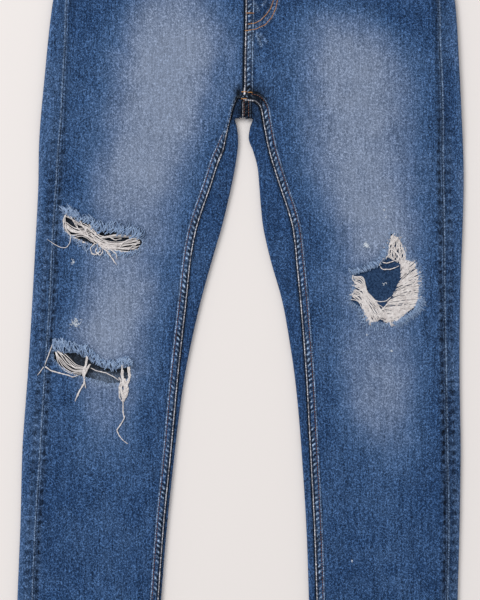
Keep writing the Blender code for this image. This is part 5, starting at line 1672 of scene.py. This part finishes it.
def wear_piece(made, fade, edge_worn):
    """Fade for a flat sewn-on piece, worn along its rim."""
    x, s, _ = vertex_places(made)
    count = len(x) // 2
    outline = rim_of(made)
    store(made, fade + mottled(x, s), edge_worn * outline * (0.6 + 0.5 * patchy(x, s, 5.0, 13)), 0.0,
          np.where(np.arange(len(x)) >= count, WRONG_SIDE, 0.0))


def rim_of(made):
    """One for each vertex on the rim of a wall, where the cloth turns over, and zero elsewhere."""
    normals = np.zeros(len(made.data.vertices) * 3)
    made.data.vertices.foreach_get("normal", normals)
    return np.where(np.abs(normals.reshape(-1, 3)[:, 2]) < 0.93, 1.0, 0.0)


for leg in (RIGHT, LEFT):
    wear_front(leg, fronts[leg.name])
    wear_back(leg, backs[leg.name])
    wear_back(leg, yokes[leg.name])
    wear_piece(pockets[leg.name], 0.3, 0.5)
    wear_piece(facings[leg.name], 0.12, 0.2)
wear_piece(band, 0.2, 0.45)
for made in loops.values():
    wear_piece(made, 0.25, 0.6)


# %% [markdown]
# ## Shaders
# Indigo denim is a twill: blue warp over pale weft, in steep diagonal lines. The shader starts from
# a ramp of dye from dark navy to pale grey blue. The middle values of a noise, picked out by a bell
# curve, make thin pale curls, as worn yarn has. Noise stretched along two diagonals adds crossing
# dashes, and noise stretched down the leg adds slubs and long streaks of uneven yarn. The felled
# band is coloured from its distance and length: pale bumps, dark hollows, the two rows and the
# white edge. A fine wave gives the twill's bump. Everything is in metres, so its size stays true.

# %% Shader tools
class Finish:
    """A material with a few short ways to add nodes."""

    def __init__(self, name, roughness, sheen=0.0, metallic=0.0):
        self.material = bpy.data.materials.new(name)
        self.material.use_nodes = True
        self.tree = self.material.node_tree
        self.shader = self.tree.nodes["Principled BSDF"]
        self.shader.inputs["Roughness"].default_value = roughness
        self.shader.inputs["Sheen Weight"].default_value = sheen
        self.shader.inputs["Sheen Roughness"].default_value = 0.6
        self.shader.inputs["Metallic"].default_value = metallic
        self.shader.inputs["Specular IOR Level"].default_value = 0.25
        self.where = self.node("ShaderNodeTexCoord").outputs["Object"]

    def node(self, kind, **settings):
        made = self.tree.nodes.new(kind)
        for name, value in settings.items():
            setattr(made, name, value)
        return made

    def put(self, socket, value):
        if isinstance(value, bpy.types.NodeSocket):
            self.tree.links.new(value, socket)
        elif hasattr(socket.default_value, "__len__") and not hasattr(value, "__len__"):
            socket.default_value = [value] * len(socket.default_value)
        else:
            socket.default_value = value

    def value(self, name):
        return self.node("ShaderNodeAttribute", attribute_name=name).outputs["Fac"]

    def calc(self, operation, a, b=0.0, c=0.0):
        made = self.node("ShaderNodeMath", operation=operation)
        for socket, value in zip(made.inputs, (a, b, c)):
            self.put(socket, value)
        return made.outputs[0]

    def noise(self, scale, stretch=(1, 1, 1), turn=0.0, detail=2.0):
        mapping = self.node("ShaderNodeMapping")
        self.put(mapping.inputs["Vector"], self.where)
        mapping.inputs["Rotation"].default_value = (0, 0, math.radians(turn))
        mapping.inputs["Scale"].default_value = stretch
        made = self.node("ShaderNodeTexNoise")
        self.put(made.inputs["Vector"], mapping.outputs[0])
        made.inputs["Scale"].default_value = scale
        made.inputs["Detail"].default_value = detail
        return self.calc("SUBTRACT", made.outputs["Fac"], 0.5)

    def bell(self, value, centre, width):
        """One at the centre, falling away over the width."""
        t = self.calc("MULTIPLY_ADD", value, 1 / width, -centre / width)
        return self.calc("EXPONENT", self.calc("MULTIPLY", self.calc("MULTIPLY", t, t), -1.0))

    def total(self, *terms):
        """The sum of values, each given with its share."""
        out = 0.0
        for value, share in terms:
            out = self.calc("MULTIPLY_ADD", value, share, out)
        return out

    def ramp(self, factor, stops):
        made = self.node("ShaderNodeValToRGB")
        self.put(made.inputs["Fac"], factor)
        elements = made.color_ramp.elements
        while len(elements) < len(stops):
            elements.new(0.5)
        for element, (at, colour) in zip(elements, stops):
            element.position = at
            element.color = (*colour, 1)
        return made.outputs["Color"]

    def blend(self, factor, a, b, kind="MIX"):
        made = self.node("ShaderNodeMix", data_type="RGBA", blend_type=kind, clamp_factor=True)
        self.put(made.inputs["Factor"], factor)
        for socket, value in ((made.inputs[6], a), (made.inputs[7], b)):
            self.put(socket, (*value, 1) if isinstance(value, tuple) else value)
        return made.outputs[2]

    def scaled(self, colour, factor):
        made = self.node("ShaderNodeVectorMath", operation="SCALE")
        self.put(made.inputs[0], colour)
        self.put(made.inputs["Scale"], factor)
        return made.outputs[0]

    def bump(self, height, distance):
        made = self.node("ShaderNodeBump")
        made.inputs["Distance"].default_value = distance
        self.put(made.inputs["Height"], height)
        self.tree.links.new(made.outputs[0], self.shader.inputs["Normal"])

    def colour(self, value):
        self.put(self.shader.inputs["Base Color"], (*value, 1) if isinstance(value, tuple) else value)


# %% Denim
def denim_finish():
    made = Finish("indigo_denim", 0.95, sheen=0.03)
    made.shader.inputs["Specular IOR Level"].default_value = 0.1
    dashes = made.calc("ADD", made.noise(500, (1, 0.7, 1), 38), made.noise(500, (1, 0.7, 1), -42))
    slubs = made.noise(620, (1, 0.2, 1), 0)
    fine = made.noise(1500, (1, 0.6, 1), 20, 1.0)
    curls = made.bell(made.noise(370, (1, 0.85, 1), 12), 0.0, 0.035)
    streaks = made.noise(560, (1, 0.05, 1), 0, 1.0)
    grain = made.total((curls, 0.6), (dashes, 0.5), (slubs, 0.2), (streaks, 0.45))
    grain = made.calc("SUBTRACT", grain, 0.15)
    tone = made.calc("MULTIPLY_ADD", grain, 0.32, made.value("fade"))
    tone = made.calc("MULTIPLY_ADD", made.noise(70), 0.06, tone)
    base = made.ramp(made.calc("DIVIDE", tone, 1.1), [
        (0.0, (0.018, 0.053, 0.143)), (0.27, (0.053, 0.112, 0.240)), (0.6, (0.121, 0.178, 0.305)),
        (0.95, (0.226, 0.280, 0.398))])
    seam = made.value("seam")
    lean = made.calc("MULTIPLY_ADD", seam, 0.7, made.value("along"))
    phase = made.calc("MULTIPLY_ADD", lean, 2 * math.pi / PUCKER, made.calc("MULTIPLY", made.noise(50), 8.0))
    bumps = made.calc("MULTIPLY_ADD", made.calc("SINE", phase), 0.5, 0.5)
    bumps = made.calc("POWER", bumps, 2.0)
    hollows = made.calc("SUBTRACT", 1.0, bumps)
    uneven = made.calc("MAXIMUM", made.calc("MULTIPLY_ADD", made.noise(60), 4.0, 0.8), 0.1)
    bumps = made.calc("MULTIPLY", bumps, made.calc("MULTIPLY", made.bell(seam, 4.6, 1.9), uneven))
    hollows = made.calc("MULTIPLY", hollows, made.calc("MULTIPLY", made.bell(seam, 4.7, 2.6), uneven))
    rows = made.total((made.bell(seam, 2.4, 0.8), 0.9), (made.bell(seam, ROW_FAR, 0.8), 0.6))
    edge = made.calc("MULTIPLY", made.bell(seam, 0.5, 0.65),
                     made.calc("MULTIPLY_ADD", made.value("dark"), -0.65, 0.95))
    # dark: the dark share (darker dye by the seams, and painted shade at the crotch, beside the fly lap and
    # felled bands, under the fringe and inside the rips), the stitch rows, the pucker hollows, and a painted
    # shadow line just outside the felled band
    dark = made.total((made.value("dark"), 1.0), (rows, 1.0), (hollows, 0.6),
                      (made.bell(seam, BAND + 1.5, 0.8), 0.4))
    dark = made.calc("MINIMUM", dark, 1.1)
    # pale: the worn share, which also holds painted highlights on the wrinkles by the fly, the pucker tops
    # and the far edge of the band
    pale = made.total((made.value("worn"), 0.9), (bumps, 1.0), (made.bell(seam, BAND + 0.1, 0.6), 0.65))
    pale = made.calc("MULTIPLY", pale, made.calc("MULTIPLY_ADD", grain, 1.6, 0.9))
    base = made.blend(pale, base, (0.31, 0.43, 0.62))
    base = made.blend(made.value("wrong"), base, (0.16, 0.21, 0.30))
    base = made.scaled(base, made.calc("MULTIPLY_ADD", dark, -0.85, 1.0))
    frayed = made.calc("MULTIPLY_ADD", grain, 1.5, 0.9)
    base = made.blend(made.calc("MULTIPLY", edge, frayed), base, (0.60, 0.59, 0.62))
    depth = made.calc("MULTIPLY_ADD", made.value("fade"), -0.95, 2.1)
    base = made.scaled(base, made.calc("MULTIPLY_ADD", grain, depth, 1.0))
    base = made.scaled(base, made.calc("MULTIPLY_ADD", fine, 0.7, 1.0))
    made.colour(base)
    wave = made.node("ShaderNodeTexWave", wave_type="BANDS", bands_direction="DIAGONAL")
    turned = made.node("ShaderNodeMapping")
    made.put(turned.inputs["Vector"], made.where)
    turned.inputs["Scale"].default_value = (1.0, 0.55, 1.0)
    made.put(wave.inputs["Vector"], turned.outputs[0])
    wave.inputs["Scale"].default_value = 190.0
    wave.inputs["Distortion"].default_value = 1.5
    wave.inputs["Detail Scale"].default_value = 3.0
    made.bump(made.total((grain, 1.2), (wave.outputs["Fac"], 0.35), (bumps, 2.0), (rows, -1.2),
                         (edge, 1.0)), 0.0003)
    return made.material


def thread_finish(name, colour, dark, spread=1.4):
    made = Finish(name, 0.85, sheen=0.1)
    spots = made.calc("ADD", made.noise(260), made.noise(900))
    made.colour(made.blend(made.calc("MULTIPLY_ADD", spots, spread, 0.35), colour, dark))
    made.bump(made.noise(1800), 0.0002)
    return made.material


def twill_finish():
    made = Finish("navy_twill", 0.95, sheen=0.02)
    made.shader.inputs["Specular IOR Level"].default_value = 0.1
    wave = made.node("ShaderNodeTexWave", wave_type="BANDS", bands_direction="DIAGONAL")
    made.put(wave.inputs["Vector"], made.where)
    wave.inputs["Scale"].default_value = 220.0
    tone = made.total((wave.outputs["Fac"], 0.2), (made.noise(430), 2.6), (made.noise(60), 0.7))
    made.colour(made.blend(made.calc("ADD", tone, 0.4), (0.006, 0.020, 0.056), (0.036, 0.078, 0.170)))
    made.bump(wave.outputs["Fac"], 0.0003)
    return made.material


def button_finish():
    made = Finish("aged_brass", 0.42, metallic=0.9)
    spots = made.calc("MULTIPLY_ADD", made.noise(300), 1.5, 0.4)
    made.colour(made.blend(spots, (0.42, 0.30, 0.16), (0.20, 0.13, 0.07)))
    made.bump(made.noise(900), 0.0002)
    return made.material


denim = denim_finish()
cream = thread_finish("cream_weft", (0.83, 0.79, 0.78), (0.50, 0.45, 0.44), spread=1.8)
blue_fray = thread_finish("faded_fray", (0.30, 0.41, 0.60), (0.07, 0.13, 0.26), spread=2.4)
navy_thread = thread_finish("navy_thread", (0.030, 0.040, 0.075), (0.012, 0.016, 0.035))
rust_thread = thread_finish("rust_thread", (0.24, 0.10, 0.065), (0.12, 0.05, 0.04))
orange_thread = thread_finish("orange_thread", (0.56, 0.28, 0.09), (0.25, 0.11, 0.05))

# %% Finish every piece
def finish_piece(made, material, nodes=()):
    made.data.materials.clear()
    made.data.materials.append(material)
    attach(made, "root")
    if nodes:
        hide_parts(*nodes)


for side in ("right", "left"):
    finish_piece(fronts[side], denim, ["front_" + side])
    finish_piece(backs[side], denim, ["back_" + side])
    finish_piece(yokes[side], denim, ["yoke_" + side])
    finish_piece(pockets[side], denim, ["back_pocket_" + side])
    finish_piece(facings[side], denim, ["pocket_facing_" + side])
finish_piece(band, denim, ["waistband"])
for name, made in loops.items():
    finish_piece(made, denim, ["belt_loop_" + name])
finish_piece(patch, twill_finish(), ["knee_patch"])
finish_piece(button, button_finish(), ["button"])
finish_piece(thigh_threads, cream, ["thigh_rip_threads"])
finish_piece(right_knee_threads, cream, ["right_knee_rip_threads"])
finish_piece(left_knee_threads, cream, ["left_knee_rip_threads"])
for made in fringes:
    finish_piece(made, blue_fray)
finish_piece(nicks, thread_finish("pale_fray", (0.66, 0.71, 0.78), (0.36, 0.44, 0.56)))
for name, material in (("navy", navy_thread), ("rust", rust_thread), ("orange", orange_thread),
                       ("tacks", orange_thread), ("below", rust_thread), ("buttonhole", navy_thread)):
    finish_piece(stitches[name], material)


# %% [markdown]
# ## Cut sizes
# Each panel was a flat piece of cloth. Its width and length are the rectangle it was cut from, and
# its area is less, because it tapers. The front and the back differ: the back has the seat in it.

def area_of(made):
    return sum(p.area for p in made.data.polygons) / 2


SHEETS = [
    (fronts["right"], (0.250, 1.022), 0.168, ["denim_back_right"]),
    (fronts["left"], (0.250, 1.022), 0.175, ["denim_back_left"]),
    (backs["right"], (0.330, 0.985), 0.228, ["denim_back_pocket_right"]),
    (backs["left"], (0.330, 0.985), 0.240, ["denim_back_pocket_left"]),
    (yokes["right"], (0.230, 0.062), 0.0115, ["denim_loop_back_right"]),
    (yokes["left"], (0.230, 0.062), 0.0115, ["denim_loop_back_left"]),
    (band, (0.850, 0.040), 0.034, ["denim_yoke_right", "denim_yoke_left"]),
    (pockets["right"], (0.150, 0.162), 0.0213, []),
    (pockets["left"], (0.150, 0.162), 0.0213, []),
    (facings["right"], (0.125, 0.092), 0.0088, ["denim_back_right"]),
    (facings["left"], (0.125, 0.092), 0.0088, ["denim_back_left"]),
    (patch, (0.141, 0.164), 0.0231, ["denim_back_left"])]
for made in loops.values():
    SHEETS.append((made, (0.012, 0.053), 0.000636, ["denim_waistband"]))
for made, flat, area, below_it in SHEETS:
    print(made.name, "measures", round(area_of(made), 4), "m2, declared", area)
    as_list(below_it)


# %% [markdown]
# ## Light and camera
# The photo was taken from straight above on a warm off-white ground, in soft light from the upper
# left. A broad lamp there and a pale sky give the same soft shadow at the right of each edge. The
# picture is 720 mm tall on the cloth and starts below the waistband.

# %% Stage
FLOOR_HALF = 4.0
FLOOR_Z = -0.0004
corners = [(x * FLOOR_HALF, y * FLOOR_HALF, FLOOR_Z) for x, y in ((-1, -1), (1, -1), (1, 1), (-1, 1))]
floor_mesh = bpy.data.meshes.new("floor")
floor_mesh.from_pydata(corners, [], [(0, 1, 2, 3)])
floor = bpy.data.objects.new("floor", floor_mesh)
bpy.context.collection.objects.link(floor)
ground = Finish("warm_ground", 0.9)
ground.shader.inputs["Specular IOR Level"].default_value = 0.0
ground.colour((0.852, 0.806, 0.787))
floor_mesh.materials.append(ground.material)
floor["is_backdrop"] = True

world = bpy.data.worlds.new("pale_room")
bpy.context.scene.world = world
world.use_nodes = True
world.node_tree.nodes["Background"].inputs["Color"].default_value = (1.0, 1.0, 1.0, 1)
world.node_tree.nodes["Background"].inputs["Strength"].default_value = 0.62

lamp_data = bpy.data.lights.new("window", "AREA")
lamp_data.shape = "DISK"
lamp_data.size = 3.6
lamp_data.energy = 196.0
lamp = bpy.data.objects.new("window", lamp_data)
bpy.context.collection.objects.link(lamp)
lamp.location = (-3.2, 2.8, 4.2)
lamp.rotation_euler = (Vector((0, 0, 0)) - lamp.location).to_track_quat("-Z", "Y").to_euler()
lamp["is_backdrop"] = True

PICTURE_HEIGHT = 0.72
LENS = 100.0
SENSOR = 36.0
camera_data = bpy.data.cameras.new("camera")
camera_data.lens = LENS
camera_data.sensor_width = SENSOR
camera = bpy.data.objects.new("camera", camera_data)
bpy.context.collection.objects.link(camera)
camera.location = (0.0024, 0.0275, PICTURE_HEIGHT * LENS / SENSOR + 0.006)
bpy.context.scene.camera = camera
bpy.context.scene.view_settings.view_transform = "Standard"

# %% Sizes and finish
dressed_low, dressed_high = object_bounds()
total = sum(len(p.vertices) - 2 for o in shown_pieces() if o.type == "MESH" for p in o.data.polygons)
dressed_size = [round((b - a) / MM, 1) for a, b in zip(dressed_low, dressed_high)]
print("dressed size", dressed_size, "mm,", total, "triangles")
